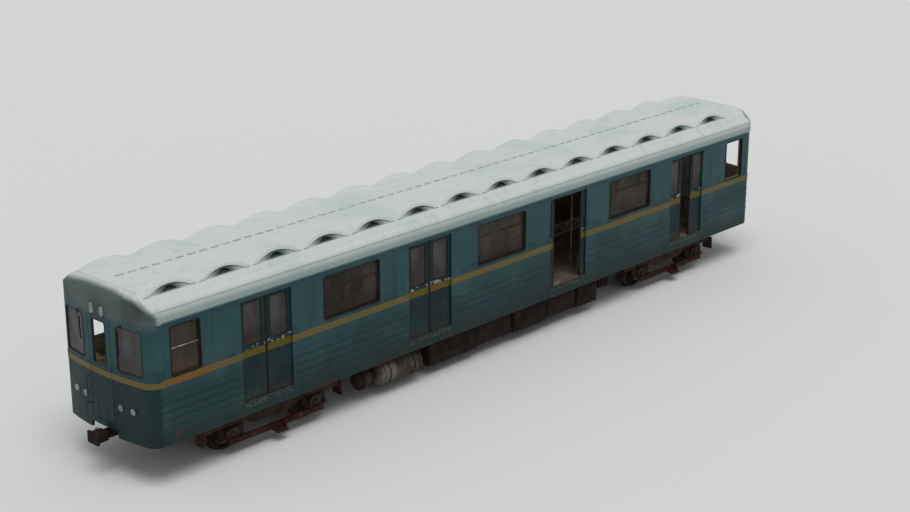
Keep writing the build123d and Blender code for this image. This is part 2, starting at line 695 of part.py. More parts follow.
# Door tracks above the doorways, in the pockets, and threshold plates on the skirt below
TRACK_HALF_L, TRACK_H = 1250.0, 24.0
THRESHOLD_T = 6.0
THRESHOLD_LOW_Z, THRESHOLD_HIGH_Z = 948.0, 1046.0
with BuildPart() as door_tracks:
    for side in (-1, 1):
        with BuildSketch(Plane.XY.offset(LEAF_HIGH_Z + 10)):
            with Locations(*[(x, side * LEAF_MID_Y) for x in DOOR_CENTRES_X]):
                Rectangle(2 * TRACK_HALF_L, POCKET_OUT_Y - LINING_OUT_Y)
        extrude(amount=TRACK_H)
        with BuildSketch(Plane.XY.offset(THRESHOLD_LOW_Z)):
            with Locations(*[(x, side * (SKIN_OUT_Y + THRESHOLD_T / 2)) for x in DOOR_CENTRES_X]):
                Rectangle(2 * DOOR_HALF_W, THRESHOLD_T)
        extrude(amount=THRESHOLD_HIGH_Z - THRESHOLD_LOW_Z)
finish(door_tracks.part, "door_tracks")


# Sliding leaves, two at each doorway, as they stand
def leaf(side, door, towards_cab):
    """One leaf with its window and pane; towards_cab is the one that slides forward."""
    y_sign = 1 if side == "left" else -1
    x_sign = 1 if towards_cab else -1
    inner_edge = DOOR_CENTRES_X[door] + x_sign * (LEAF_GAP + LEAF_OPEN[side][door])
    mid_x = inner_edge + x_sign * LEAF_W / 2
    window_x = inner_edge + x_sign * LEAF_WINDOW_MID
    window_mid_z = (LEAF_WINDOW_LOW_Z + LEAF_WINDOW_HIGH_Z) / 2
    window_h = LEAF_WINDOW_HIGH_Z - LEAF_WINDOW_LOW_Z
    with BuildPart() as panel:
        with BuildSketch(Plane.XZ.offset(-y_sign * LEAF_MID_Y)):
            with Locations((mid_x, (LEAF_LOW_Z + LEAF_HIGH_Z) / 2)):
                Rectangle(LEAF_W, LEAF_HIGH_Z - LEAF_LOW_Z)
            with Locations((window_x, window_mid_z)):
                RectangleRounded(LEAF_WINDOW_W, window_h, 60, mode=Mode.SUBTRACT)
        extrude(amount=LEAF_T / 2, both=True)
        with BuildSketch(Plane.XZ.offset(-y_sign * LEAF_MID_Y)):
            with Locations((window_x, window_mid_z)):
                RectangleRounded(LEAF_WINDOW_W - 2, window_h - 2, 59)
        extrude(amount=PANE_T / 2, both=True)
    position = "front" if towards_cab else "rear"
    finish(panel.part, f"leaf_{side}_{door + 1}_{position}")


for side in ("left", "right"):
    for door in range(len(DOOR_CENTRES_X)):
        for towards_cab in (True, False):
            leaf(side, door, towards_cab)


# Underframe: side sills and two long beams over the cross-bearers
SILL_LOW_Z = 830.0
SILL_W = 90.0
SILL_HALF_L = BODY_HALF_L - 485.0
SILL_IN_Y = POCKET_OUT_Y - SILL_W
UNDERFRAME_TOP_Z = FLOOR_Z - FLOOR_T
BEARER_LOW_Z, BEARER_HIGH_Z = 866.0, 940.0
BEARER_W = 90.0
BEARER_SHIFTS = (1100.0, 2200.0, 3300.0, 4300.0, 7800.0, SILL_HALF_L - BEARER_W / 2)
BEARER_XS = [0.0] + [direction * x for direction in (-1, 1) for x in BEARER_SHIFTS]
with BuildPart() as underframe:
    with BuildSketch(Plane.XY.offset(SILL_LOW_Z)):
        with Locations((0, SILL_IN_Y + SILL_W / 2), (0, -SILL_IN_Y - SILL_W / 2)):
            Rectangle(2 * SILL_HALF_L, SILL_W)
    extrude(amount=UNDERFRAME_TOP_Z - SILL_LOW_Z)
    with BuildSketch(Plane.XY.offset(BEARER_HIGH_Z + SEAM)):
        with Locations((0, -180), (0, 180)):
            Rectangle(2 * SILL_HALF_L, 60)
    extrude(amount=UNDERFRAME_TOP_Z - BEARER_HIGH_Z - SEAM)
finish(underframe.part, "underframe")

# Cross-bearers between the sills, bolsters with pivot pins, coupler pockets, jacking pads
BODY_BOLSTER_LOW_Z = 800.0
JACK_X, JACK_T = 4600.0, 20.0
PIVOT_PIN_R = 60.0
POCKET_LOW_Z = 846.0
COUPLER_PIN_R = 36.0
with BuildPart() as cross_bearers:
    with BuildSketch(Plane.XY.offset(BEARER_LOW_Z)):
        with Locations(*[(x, 0) for x in BEARER_XS]):
            Rectangle(BEARER_W, 2 * (SILL_IN_Y - SEAM))
    extrude(amount=BEARER_HIGH_Z - BEARER_LOW_Z)
    for direction in (-1, 1):
        bolster_x = direction * BOGIE_X
        with BuildSketch(Plane.XY.offset(BODY_BOLSTER_LOW_Z)):
            with Locations((bolster_x, 0)):
                Rectangle(360, 2 * 1150)
        extrude(amount=BEARER_HIGH_Z - BODY_BOLSTER_LOW_Z)
        with BuildSketch(Plane.XY.offset(BODY_BOLSTER_LOW_Z - 90)):
            with Locations((bolster_x, 0)):
                Circle(PIVOT_PIN_R)
        extrude(amount=90)
        pivot_x = direction * COUPLER_PIVOT_X
        with BuildSketch(Plane.XY.offset(POCKET_LOW_Z)):
            with Locations((pivot_x, 0)):
                Rectangle(260, 420)
        extrude(amount=BEARER_HIGH_Z - POCKET_LOW_Z)
        with BuildSketch(Plane.XY.offset(POCKET_LOW_Z - 186)):
            with Locations((pivot_x, 0)):
                Circle(COUPLER_PIN_R)
        extrude(amount=186)
        with BuildSketch(Plane.XY.offset(POCKET_LOW_Z - 206)):
            with Locations((pivot_x, 0)):
                Circle(COUPLER_PIN_R + 28)
        extrude(amount=28)
        with BuildSketch(Plane.XY.offset(SILL_LOW_Z - JACK_T)):
            for y in (-SILL_IN_Y - SILL_W / 2, SILL_IN_Y + SILL_W / 2):
                with Locations((direction * JACK_X, y)):
                    Rectangle(300, SILL_W - 6)
        extrude(amount=JACK_T)
finish(cross_bearers.part, "cross_bearers")


# Equipment boxes hung from the sills: front x, back x, low z and outer y of each
EQUIPMENT_LEFT = (
    (2080, 640, 232, 1200),
    (590, -520, 262, 1170),
    (-570, -1640, 240, 1200),
    (-1690, -2700, 268, 1180),
    (-2750, -3450, 240, 1200),
    (-3640, -3960, 450, 1120),
)
EQUIPMENT_RIGHT = (
    (3400, 2260, 262, 1180),
    (2200, 640, 240, 1200),
    (590, -1040, 232, 1200),
    (-1100, -2100, 268, 1170),
    (-2160, -3450, 240, 1200),
)
EQUIP_HIGH_Z, EQUIP_IN_Y = 764.0, 430.0
COVER_T, COVER_INSET = 12.0, 55.0
HANGER_T = 30.0


def sill_hanger(x, in_y, out_y, low_z):
    """Upright plate across the car from a load's top edge to the left sill's underside."""
    with BuildSketch(Plane.YZ.offset(x - HANGER_T / 2)) as plate:
        with BuildLine():
            Polyline(
                (in_y, low_z),
                (out_y, low_z),
                (POCKET_OUT_Y - 12, SILL_LOW_Z),
                (SILL_IN_Y + 8, SILL_LOW_Z),
                close=True,
            )
        make_face()
    return extrude(plate.sketch, amount=HANGER_T)


def equipment_row(name, y_sign, boxes):
    """Boxes with raised covers and two hangers each; drawn on the left, then mirrored."""
    with BuildPart() as row:
        for front_x, back_x, low_z, out_y in boxes:
            mid_x = (front_x + back_x) / 2
            mid_z = (low_z + EQUIP_HIGH_Z) / 2
            width, height = front_x - back_x, EQUIP_HIGH_Z - low_z
            with BuildSketch(Plane.XZ.offset(COVER_T - out_y)):
                with Locations((mid_x, mid_z)):
                    Rectangle(width, height)
            extrude(amount=out_y - COVER_T - EQUIP_IN_Y)
            with BuildSketch(Plane.XZ.offset(-out_y)):
                with Locations((mid_x, mid_z)):
                    RectangleRounded(width - 2 * COVER_INSET, height - 2 * COVER_INSET, 30)
            extrude(amount=COVER_T + 1)
            for x in (front_x - 60, back_x + 60):
                add(sill_hanger(x, out_y - 260, out_y - COVER_T, EQUIP_HIGH_Z - 2))
    side = row.part if y_sign > 0 else mirror(row.part, about=Plane.XZ)
    finish(side, name)


equipment_row("equipment_left", 1, EQUIPMENT_LEFT)
equipment_row("equipment_right", -1, EQUIPMENT_RIGHT)


# Air reservoirs with domed ends: front x, back x, radius, dome depth and hanger x of each
RESERVOIR_Y, RESERVOIR_Z = 1030.0, 466.0
RESERVOIRS = (
    (3630.0, 2300.0, 258.0, 90.0, (3350.0, 2580.0)),
    (4080.0, 3670.0, 190.0, 60.0, (3875.0,)),
)
with BuildPart() as air_reservoir:
    for front_x, back_x, radius, dome, hanger_xs in RESERVOIRS:
        with BuildSketch(Plane.XY.offset(RESERVOIR_Z)):
            with BuildLine():
                half_l = (front_x - back_x) / 2
                mid_x = (front_x + back_x) / 2
                cap_x, cap_r = cap_mid(half_l, dome, radius)
                corner_y = RESERVOIR_Y + radius
                front_edge = (front_x - dome, corner_y)
                back_edge = (back_x + dome, corner_y)
                Line((back_x, RESERVOIR_Y), (front_x, RESERVOIR_Y))
                ThreePointArc(
                    (front_x, RESERVOIR_Y), (mid_x + cap_x, RESERVOIR_Y + cap_r), front_edge
                )
                Line(front_edge, back_edge)
                ThreePointArc(
                    back_edge, (mid_x - cap_x, RESERVOIR_Y + cap_r), (back_x, RESERVOIR_Y)
                )
            make_face()
        revolve(axis=Axis((0, RESERVOIR_Y, RESERVOIR_Z), (1, 0, 0)))
        for x in hanger_xs:
            seat_z = RESERVOIR_Z + radius - 30
            add(sill_hanger(x, RESERVOIR_Y - 50, RESERVOIR_Y + 70, seat_z))
finish(air_reservoir.part, "air_reservoir")


# Bogies. Each function makes one sub-part of the bogie at a given centre x.
BEAM_DIP_Z = 455.0                  # underside of the side beam at its middle
GUARD_T, GUARD_LOW_Z = 30.0, 350.0
GUARD_IN_Y, GUARD_OUT_Y = 880.0, 1140.0
BLOCK_GAP, BLOCK_T, BLOCK_H = 10.0, 42.0, 270.0
BLOCK_IN_Y, BLOCK_OUT_Y = 768.0, 846.0


def side_beam(bogie_x, mid_y):
    """Side beam with a deep middle and a guard plate hanging from each end."""
    with BuildPart() as beam:
        with BuildSketch(Plane.XZ.offset(-mid_y)):
            with BuildLine():
                Polyline(
                    (bogie_x - BEAM_HALF_L, BEAM_LOW_Z),
                    (bogie_x - 700, BEAM_LOW_Z),
                    (bogie_x - 460, BEAM_DIP_Z),
                    (bogie_x + 460, BEAM_DIP_Z),
                    (bogie_x + 700, BEAM_LOW_Z),
                    (bogie_x + BEAM_HALF_L, BEAM_LOW_Z),
                    (bogie_x + BEAM_HALF_L, BEAM_HIGH_Z - 50),
                    (bogie_x + BEAM_HALF_L - 160, BEAM_HIGH_Z),
                    (bogie_x - BEAM_HALF_L + 160, BEAM_HIGH_Z),
                    (bogie_x - BEAM_HALF_L, BEAM_HIGH_Z - 50),
                    close=True,
                )
            make_face()
            bends = vertices().filter_by(lambda v: abs(v.X - bogie_x) < BEAM_HALF_L / 2)
            fillet(bends, radius=150)
        extrude(amount=BEAM_T / 2, both=True)
        guard_y = (1 if mid_y > 0 else -1) * (GUARD_IN_Y + GUARD_OUT_Y) / 2
        for direction in (-1, 1):
            with BuildSketch(Plane.YZ.offset(bogie_x + direction * (BEAM_HALF_L - GUARD_T / 2))):
                with Locations((guard_y, (GUARD_LOW_Z + BEAM_HIGH_Z - 60) / 2)):
                    Rectangle(GUARD_OUT_Y - GUARD_IN_Y, BEAM_HIGH_Z - 60 - GUARD_LOW_Z)
            extrude(amount=GUARD_T / 2, both=True)
    return beam.part


def brake_block(axle_x, facing, side):
    """Curved block beside the tread and the bracket that holds it to the side beam."""
    inner_r = WHEEL_R + BLOCK_GAP
    mid_x = axle_x + facing * (inner_r + BLOCK_T / 2)
    with BuildPart() as block:
        with BuildSketch(Plane.XZ.offset(-side * BLOCK_IN_Y)):
            with Locations((axle_x, AXLE_Z)):
                Circle(inner_r + BLOCK_T)
                Circle(inner_r, mode=Mode.SUBTRACT)
            with Locations((mid_x, AXLE_Z)):
                Rectangle(4 * BLOCK_T, BLOCK_H, mode=Mode.INTERSECT)
        extrude(amount=side * (BLOCK_IN_Y - BLOCK_OUT_Y))
        with BuildSketch(Plane.XZ.offset(-side * (BLOCK_OUT_Y - 40))):
            with Locations((mid_x + facing * 8, AXLE_Z + BLOCK_H / 2 + 20)):
                Rectangle(BLOCK_T, 110)
        extrude(amount=-side * (BEAM_MID_Y - BLOCK_OUT_Y + 40))
    return block.part


def bogie_frame(bogie_x, name):
    """Side beams, transoms, end beams, brake blocks and the bolster with its pivot bore."""
    with BuildPart() as frame:
        for side in (-1, 1):
            add(side_beam(bogie_x, side * BEAM_MID_Y))
        # Shift along the car and width of each beam across the bogie
        for shift, width in ((50 - BEAM_HALF_L, 100), (-250, 110), (250, 110), (BEAM_HALF_L - 50, 100)):
            with BuildSketch(Plane.XY.offset(BEAM_LOW_Z)):
                with Locations((bogie_x + shift, 0)):
                    Rectangle(width, 2 * BEAM_MID_Y)
            extrude(amount=BEAM_HIGH_Z - 60 - BEAM_LOW_Z)
        with BuildSketch(Plane.XY.offset(BEAM_LOW_Z + 40)):
            with Locations((bogie_x, 0)):
                Rectangle(420, 2 * 940)
        extrude(amount=BODY_BOLSTER_LOW_Z - 6 - BEAM_LOW_Z - 40)
        with BuildSketch(Plane.XY.offset(BODY_BOLSTER_LOW_Z - 100)):
            with Locations((bogie_x, 0)):
                Circle(PIVOT_PIN_R + 5)
        extrude(amount=120, mode=Mode.SUBTRACT)
        for axle in (-1, 1):
            for facing in (-1, 1):
                for side in (-1, 1):
                    add(brake_block(bogie_x + axle * WHEELBASE / 2, facing, side))
    finish(frame.part, name)


SPRING_R, SPRING_FROM_AXLE = 70.0, 230.0
WING_HALF_L, WING_T, WING_DROP = 310.0, 60.0, 80.0
BOX_CAP_R, BOX_CAP_T = 62.0, 22.0


def axle_boxes(bogie_x, name):
    """Four axle boxes, each with wings and a spring on either side up to the side beam."""
    with BuildPart() as boxes:
        for axle in (-1, 1):
            x = bogie_x + axle * WHEELBASE / 2
            for side in (-1, 1):
                mid_y = side * (BOX_IN_Y + BOX_OUT_Y) / 2
                with BuildSketch(Plane.XZ.offset(-mid_y)):
                    with Locations((x, AXLE_Z)):
                        RectangleRounded(300, 270, 60)
                    with Locations((x, AXLE_Z - WING_DROP)):
                        RectangleRounded(2 * WING_HALF_L, WING_T, 20)
                extrude(amount=(BOX_OUT_Y - BOX_IN_Y) / 2, both=True)
                with BuildSketch(Plane.XZ.offset(-side * BOX_OUT_Y)):
                    with Locations((x, AXLE_Z)):
                        Circle(BOX_CAP_R)
                extrude(amount=-side * BOX_CAP_T)
                with BuildSketch(Plane.XY.offset(AXLE_Z - WING_DROP)):
                    spring_y = mid_y - side * 20
                    with Locations((x - SPRING_FROM_AXLE, spring_y), (x + SPRING_FROM_AXLE, spring_y)):
                        Circle(SPRING_R)
                extrude(amount=BEAM_LOW_Z - AXLE_Z + WING_DROP)
                with BuildSketch(Plane.XZ.offset(-side * (BOX_IN_Y - 10))):
                    with Locations((x, AXLE_Z)):
                        Circle(JOURNAL_R + 0.1)
                extrude(amount=-side * (JOURNAL_END_Y + 6 - BOX_IN_Y + 10), mode=Mode.SUBTRACT)
    finish(boxes.part, name)


BAR_LOW_Z, BAR_HIGH_Z, BAR_T = 250.0, 350.0, 70.0
SHOE_Z, SHOE_HALF_L, SHOE_REACH = 205.0, 110.0, 230.0


def collector_beams(bogie_x, name):
    """Wooden beams between the axle boxes, each with a current collector at its middle."""
    with BuildPart() as beams:
        for side in (-1, 1):
            with BuildSketch(Plane.XZ.offset(-side * (BOX_OUT_Y + BAR_T / 2))):
                with Locations((bogie_x, (BAR_LOW_Z + BAR_HIGH_Z) / 2)):
                    RectangleRounded(WHEELBASE + 300, BAR_HIGH_Z - BAR_LOW_Z, 12)
            extrude(amount=BAR_T / 2, both=True)
            for x in (bogie_x - SHOE_HALF_L - 20, bogie_x + SHOE_HALF_L + 20):
                with BuildSketch(Plane.YZ.offset(x)):
                    with BuildLine():
                        Polyline(
                            (side * (BOX_OUT_Y + BAR_T - 4), BAR_HIGH_Z + 40),
                            (side * (BOX_OUT_Y + BAR_T + 40), BAR_HIGH_Z + 40),
                            (side * (BOX_OUT_Y + SHOE_REACH - 60), SHOE_Z + 70),
                            (side * (BOX_OUT_Y + SHOE_REACH - 60), SHOE_Z + 10),
                            (side * (BOX_OUT_Y + BAR_T - 4), SHOE_Z + 10),
                            close=True,
                        )
                    make_face()
                extrude(amount=12, both=True)
            with BuildSketch(Plane.XZ.offset(-side * (BOX_OUT_Y + SHOE_REACH))):
                with Locations((bogie_x, SHOE_Z + 20)):
                    RectangleRounded(2 * SHOE_HALF_L + 64, 40, 16)
            extrude(amount=side * (SHOE_REACH - BAR_T + 4))
    finish(beams.part, name)


def traction_motors(bogie_x, name):
    """Two motors across the bogie, each with its gear case beside the axle."""
    motor_r = 225.0
    with BuildPart() as motors:
        for axle in (-1, 1):
            x = bogie_x + axle * 620
            with BuildSketch(Plane.XZ):
                with Locations((x, 430)):
                    RegularPolygon(motor_r, 8, major_radius=False)
            extrude(amount=380, both=True)
            with BuildSketch(Plane.XY.offset(590)):
                with Locations((bogie_x + axle * 422, 0)):
                    Rectangle(234, 500)
            extrude(amount=60)
    finish(motors.part, name)


def wheelset(axle_x, name):
    """Axle, journals and two flanged wheels turned about the axle line."""
    with BuildPart() as axle:
        with BuildSketch(Plane.XY.offset(AXLE_Z)):
            with BuildLine():
                half_back = BACK_TO_BACK / 2
                out_y = half_back + WHEEL_W
                Polyline(
                    (axle_x, 0),
                    (axle_x + AXLE_R, 0),
                    (axle_x + AXLE_R, half_back - 20),
                    (axle_x + 140, half_back - 20),
                    (axle_x + 150, half_back + 30),
                    (axle_x + WHEEL_R - 70, half_back + 30),
                    (axle_x + WHEEL_R - 60, half_back),
                    (axle_x + WHEEL_R + 10, half_back),
                    (axle_x + WHEEL_R + FLANGE_H, half_back + 12),
                    (axle_x + WHEEL_R + FLANGE_H, half_back + 20),
                    (axle_x + WHEEL_R, half_back + 33),
                    (axle_x + WHEEL_R - 4, out_y),
                    (axle_x + WHEEL_R - 60, out_y),
                    (axle_x + WHEEL_R - 70, half_back + 70),
                    (axle_x + 150, half_back + 85),
                    (axle_x + 130, out_y + 10),
                    (axle_x + JOURNAL_R + 20, out_y + 10),
                    (axle_x + JOURNAL_R + 20, BOX_IN_Y - 10),
                    (axle_x + JOURNAL_R, BOX_IN_Y - 10),
                    (axle_x + JOURNAL_R, JOURNAL_END_Y),
                    (axle_x, JOURNAL_END_Y),
                    close=True,
                )
            make_face()
        revolve(axis=Axis((axle_x, 0, AXLE_Z), (0, 1, 0)))
        mirror(about=Plane.XZ)
    finish(axle.part, name)


for end, bogie_x in (("front", BOGIE_X), ("rear", -BOGIE_X)):
    bogie_frame(bogie_x, f"bogie_frame_{end}")
    axle_boxes(bogie_x, f"axle_boxes_{end}")
    collector_beams(bogie_x, f"collector_beams_{end}")
    traction_motors(bogie_x, f"traction_motors_{end}")
    wheelset(bogie_x + WHEELBASE / 2, f"wheelset_{end}_1")
    wheelset(bogie_x - WHEELBASE / 2, f"wheelset_{end}_2")


# Couplers: shank with a pivot eye, and a head with a flange round its flat face
SHANK_LOW_Z, SHANK_H, SHANK_W = 694.0, 146.0, 150.0
HEAD_BACK_X = COUPLER_TIP_X - 250.0
HEAD_W, FLANGE_W, FLANGE_T = 280.0, 340.0, 34.0


def coupler(direction, name):
    pivot_x = direction * COUPLER_PIVOT_X
    head_back_x = direction * HEAD_BACK_X
    tip_x = direction * COUPLER_TIP_X
    head_mid_z = (COUPLER_LOW_Z + COUPLER_HIGH_Z) / 2
    head_h = COUPLER_HIGH_Z - COUPLER_LOW_Z
    with BuildPart() as unit:
        with BuildSketch(Plane.XY.offset(SHANK_LOW_Z)):
            with Locations(((pivot_x + head_back_x) / 2, 0)):
                Rectangle(abs(head_back_x - pivot_x) + 20, SHANK_W)
            with Locations((pivot_x, 0)):
                Circle(100)
        extrude(amount=SHANK_H)
        with BuildSketch(Plane.YZ.offset(head_back_x)):
            with Locations((0, head_mid_z)):
                RectangleRounded(HEAD_W, head_h - 40, 50)
        extrude(amount=tip_x - head_back_x)
        with BuildSketch(Plane.YZ.offset(tip_x)):
            with Locations((0, head_mid_z)):
                RectangleRounded(FLANGE_W, head_h, 40)
        extrude(amount=-direction * FLANGE_T)
        with BuildSketch(Plane.XY.offset(SHANK_LOW_Z - 14)):
            with Locations((pivot_x, 0)):
                Circle(COUPLER_PIN_R + 5)
        extrude(amount=SHANK_H + 54, mode=Mode.SUBTRACT)
    finish(unit.part, name)


coupler(1, "coupler_front")
coupler(-1, "coupler_rear")
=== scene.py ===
import json
import math

import bmesh
import bpy
from mathutils import Matrix, Vector


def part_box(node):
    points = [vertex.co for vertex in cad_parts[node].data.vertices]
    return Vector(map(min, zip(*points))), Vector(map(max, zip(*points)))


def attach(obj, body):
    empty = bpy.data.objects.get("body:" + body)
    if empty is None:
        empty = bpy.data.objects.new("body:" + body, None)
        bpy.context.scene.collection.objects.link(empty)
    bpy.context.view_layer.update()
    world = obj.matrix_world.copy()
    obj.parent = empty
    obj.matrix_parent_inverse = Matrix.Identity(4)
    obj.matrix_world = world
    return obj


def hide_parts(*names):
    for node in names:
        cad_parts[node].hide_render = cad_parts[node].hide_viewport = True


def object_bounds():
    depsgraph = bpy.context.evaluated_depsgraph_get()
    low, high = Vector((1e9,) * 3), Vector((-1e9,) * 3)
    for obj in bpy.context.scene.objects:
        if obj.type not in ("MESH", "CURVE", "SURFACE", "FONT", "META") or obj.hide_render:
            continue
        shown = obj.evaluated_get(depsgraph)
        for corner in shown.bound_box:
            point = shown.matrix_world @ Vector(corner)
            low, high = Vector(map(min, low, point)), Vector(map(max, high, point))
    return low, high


# Metro car. Metres, +X towards the driver's cab, +Y left, +Z up, as in the frame.

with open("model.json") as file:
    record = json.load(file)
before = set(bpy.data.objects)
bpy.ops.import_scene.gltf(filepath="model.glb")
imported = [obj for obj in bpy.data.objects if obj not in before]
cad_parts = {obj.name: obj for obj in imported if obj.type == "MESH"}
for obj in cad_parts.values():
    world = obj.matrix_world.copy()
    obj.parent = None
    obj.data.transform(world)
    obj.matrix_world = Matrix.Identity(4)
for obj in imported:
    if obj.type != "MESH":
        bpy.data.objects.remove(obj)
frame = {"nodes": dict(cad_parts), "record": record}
CAD_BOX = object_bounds()
NODES = frame["nodes"]
BODIES = frame["record"]["behaviour"]["bodies"]

# Heights and places on the car
END_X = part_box("cab_end")[1].x              # middle of the bowed end
SIDE_END_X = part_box("side_wall_left")[1].x
ROOF_TOP_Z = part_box("roof")[1].z
HALF_W = 1.35
END_BOW = 0.155
SKIN_Y = 1.342                              # outer face of the side walls
SKIRT_Z = 0.804
FLOOR_Z = 1.05
BELT_LOW_Z, BELT_HIGH_Z = 1.946, 2.078
EAVES_Z = 3.158
DOOR_PITCH = 4.404
DRIP_Y, DRIP_Z = 1.314, 3.382  # strip along each side of the roof
RIVET_COUNT, RIVET_INSET, RIVET_ZS = 120, 0.1, (SKIRT_Z + 0.028, 3.12)

# Ribs of the lower panels
RIB_Z, RIB_PITCH = 1.215, 0.157

# Side windows: middle x, width, low and high z. Two end ones have panes: front left, rear right
END_WINDOW_X, END_PANES_FROM_X = 8.52, 7.9
WINDOWS = [(x, 1.5, 2.16, 3.04) for x in (DOOR_PITCH, 0.0, -DOOR_PITCH)]
WINDOWS += [(x, 0.68, 2.105, 3.06) for x in (END_WINDOW_X, -END_WINDOW_X)]
WINDOW_R = 0.05
WINDOW_INNER_Y = 1.241
CROSSBAR_Y, CROSSBAR_Z, CROSSBAR_HALF_L = 1.306, 2.63, 0.32

# End windows: middle y, width, low and high z
END_PANE_Z = (2.15, 3.01)
SCREENS = [(y, 0.62, *END_PANE_Z) for y in (-0.81, 0.81)]
DOOR_PANE = [(0.0, 0.4, *END_PANE_Z)]

# Sliding leaves
LEAF_W = 0.655
LEAF_PANE_W, LEAF_PANE_MID = 0.43, 0.318  # the middle is measured from the meeting edge
LEAF_PANE_Z = (2.17, 3.01)
PULL_Z = (1.62, 1.80)

# Lamps and fittings of the ends
LAMP_YS, LAMP_Z = (-0.85, -0.53, 0.53, 0.85), 1.44
TOP_LAMP_YS, TOP_LAMP_Z = (-0.15, 0.15), 3.212
HANDRAIL_Y, HANDRAIL_Z = 0.41, (1.28, 1.82)
HANDLE_Y, HANDLE_Z, LOCK_Z = 0.24, 1.98, 1.80
WIPER_Y, WIPER_Z, BLADE_Y = 0.64, 3.045, 0.575
HOOD_HALF_W = 0.34

# Under the body
SILL_PIPES = ((1.2, 0.018), (1.165, 0.01))  # y and radius
SILL_PIPE_Z, SILL_PIPE_END_X = 0.8, 8.7
CLAMP_COUNT, CLAMP_PITCH, CLAMP_FIRST_X = 17, 1.0625, 8.5
EQUIPMENT_TOP_Z = 0.7
# Along x: the painted highlight on the large reservoir, and the start of the small one
TANK_HIGHLIGHT_X, SMALL_TANK_X = (3.2, 3.56), 3.63

# Running gear
BOGIE_XS = {"front": 6.3, "rear": -6.3}
AXLE_SHIFT, AXLE_Z = 1.05, 0.418
WING_TOP_Z, SPRING_Y, SPRING_SHIFT = 0.368, 1.025, 0.23
BOX_FACE_Y, COVER_FACE_Y, FRAME_FACE_Y, BEAM_FACE_Y = 1.13, 1.152, 1.06, 1.204
COUPLER_TIP_X, COUPLER_Z, COUPLER_TOP_Z = CAD_BOX[1].x, 0.77, 0.868

# Inside
BENCH_FRONT_Y, BENCH_BACK_Y, BENCH_WALL_Y = 0.95, 1.185, 1.238
BENCH_FOOT_Z, BENCH_TOP_Z, BACK_TOP_Z = 1.052, 1.385, 1.9
DRIVER_Y = -0.7
CEILING_LAMP_COUNT = 15
CEILING_LAMP_X, CEILING_LAMP_Y, CEILING_LAMP_Z = 7.34, 0.6, 3.2
AHEAD, ACROSS, UP = Vector((1, 0, 0)), Vector((0, 1, 0)), Vector((0, 0, 1))

# Roof scoops and the clips on the ridge joint
SCOOP_PITCH, SCOOP_FIRST_X, SCOOP_COUNT = 1.268, 8.56, 14
MOUTH_INNER_Y, MOUTH_OUTER_Y = 0.845, 0.985
MOUTH_HALF_L, MOUTH_TOP_Z, MOUTH_FALL = 0.497, 3.728, 0.54
CORE_HALF_L, CORE_TOP_Z, CORE_FALL = 0.18, 3.688, 3.0
CHEEK_Y, CHEEK_SLOPE = 0.953, 0.443
RIDGE_PITCH, RIDGE_LENGTH, RIDGE_END_X = 0.276, 0.18, 8.9


def srgb(red, green, blue):
    """A colour given as display values, 0 to 255."""
    linear = []
    for value in (red, green, blue):
        value /= 255
        linear.append(value / 12.92 if value <= 0.04045 else ((value + 0.055) / 1.055) ** 2.4)
    return (*linear, 1.0)


def end_x(y):
    """X of the bowed cab end's outer face at a given y."""
    radius = (HALF_W**2 + END_BOW**2) / (2 * END_BOW)
    return END_X - radius + math.sqrt(radius**2 - y**2)


# Colours
TEAL_UPPER = srgb(41, 74, 77)
TEAL_LOWER = srgb(31, 61, 61)
TEAL_FADED = srgb(58, 88, 88)
TEAL_BLUE = srgb(35, 69, 77)
TEAL_DARK = srgb(18, 38, 40)
SKIRT_GREEN = srgb(16, 42, 42)
OCHRE = srgb(104, 90, 42)
OCHRE_DULL = srgb(94, 88, 62)
OCHRE_RUST = srgb(128, 78, 34)
OCHRE_LEAF = srgb(92, 78, 16)
ROOF_WHITE = srgb(198, 201, 197)
ROOF_MINT = srgb(182, 195, 191)
ROOF_GREY = srgb(112, 116, 112)
COVE_SHADE = srgb(128, 150, 146)
GUTTER = srgb(78, 104, 104)
FOREHEAD = srgb(76, 91, 88)
FOREHEAD_DIRT = srgb(58, 66, 62)
CREAM = srgb(212, 208, 196)
CREAM_DIRT = srgb(178, 171, 156)
PRIMER = srgb(140, 142, 132)
DIRT = srgb(52, 44, 36)
# Near black, for sooty dirt and for painted shade in the roof scoops' mouths
SOOT_AND_SHADE = srgb(14, 12, 11)
RUST = srgb(78, 40, 24)
RUST_DARK = srgb(42, 24, 18)
RUBBER = srgb(30, 26, 24)
STEEL = srgb(96, 92, 88)


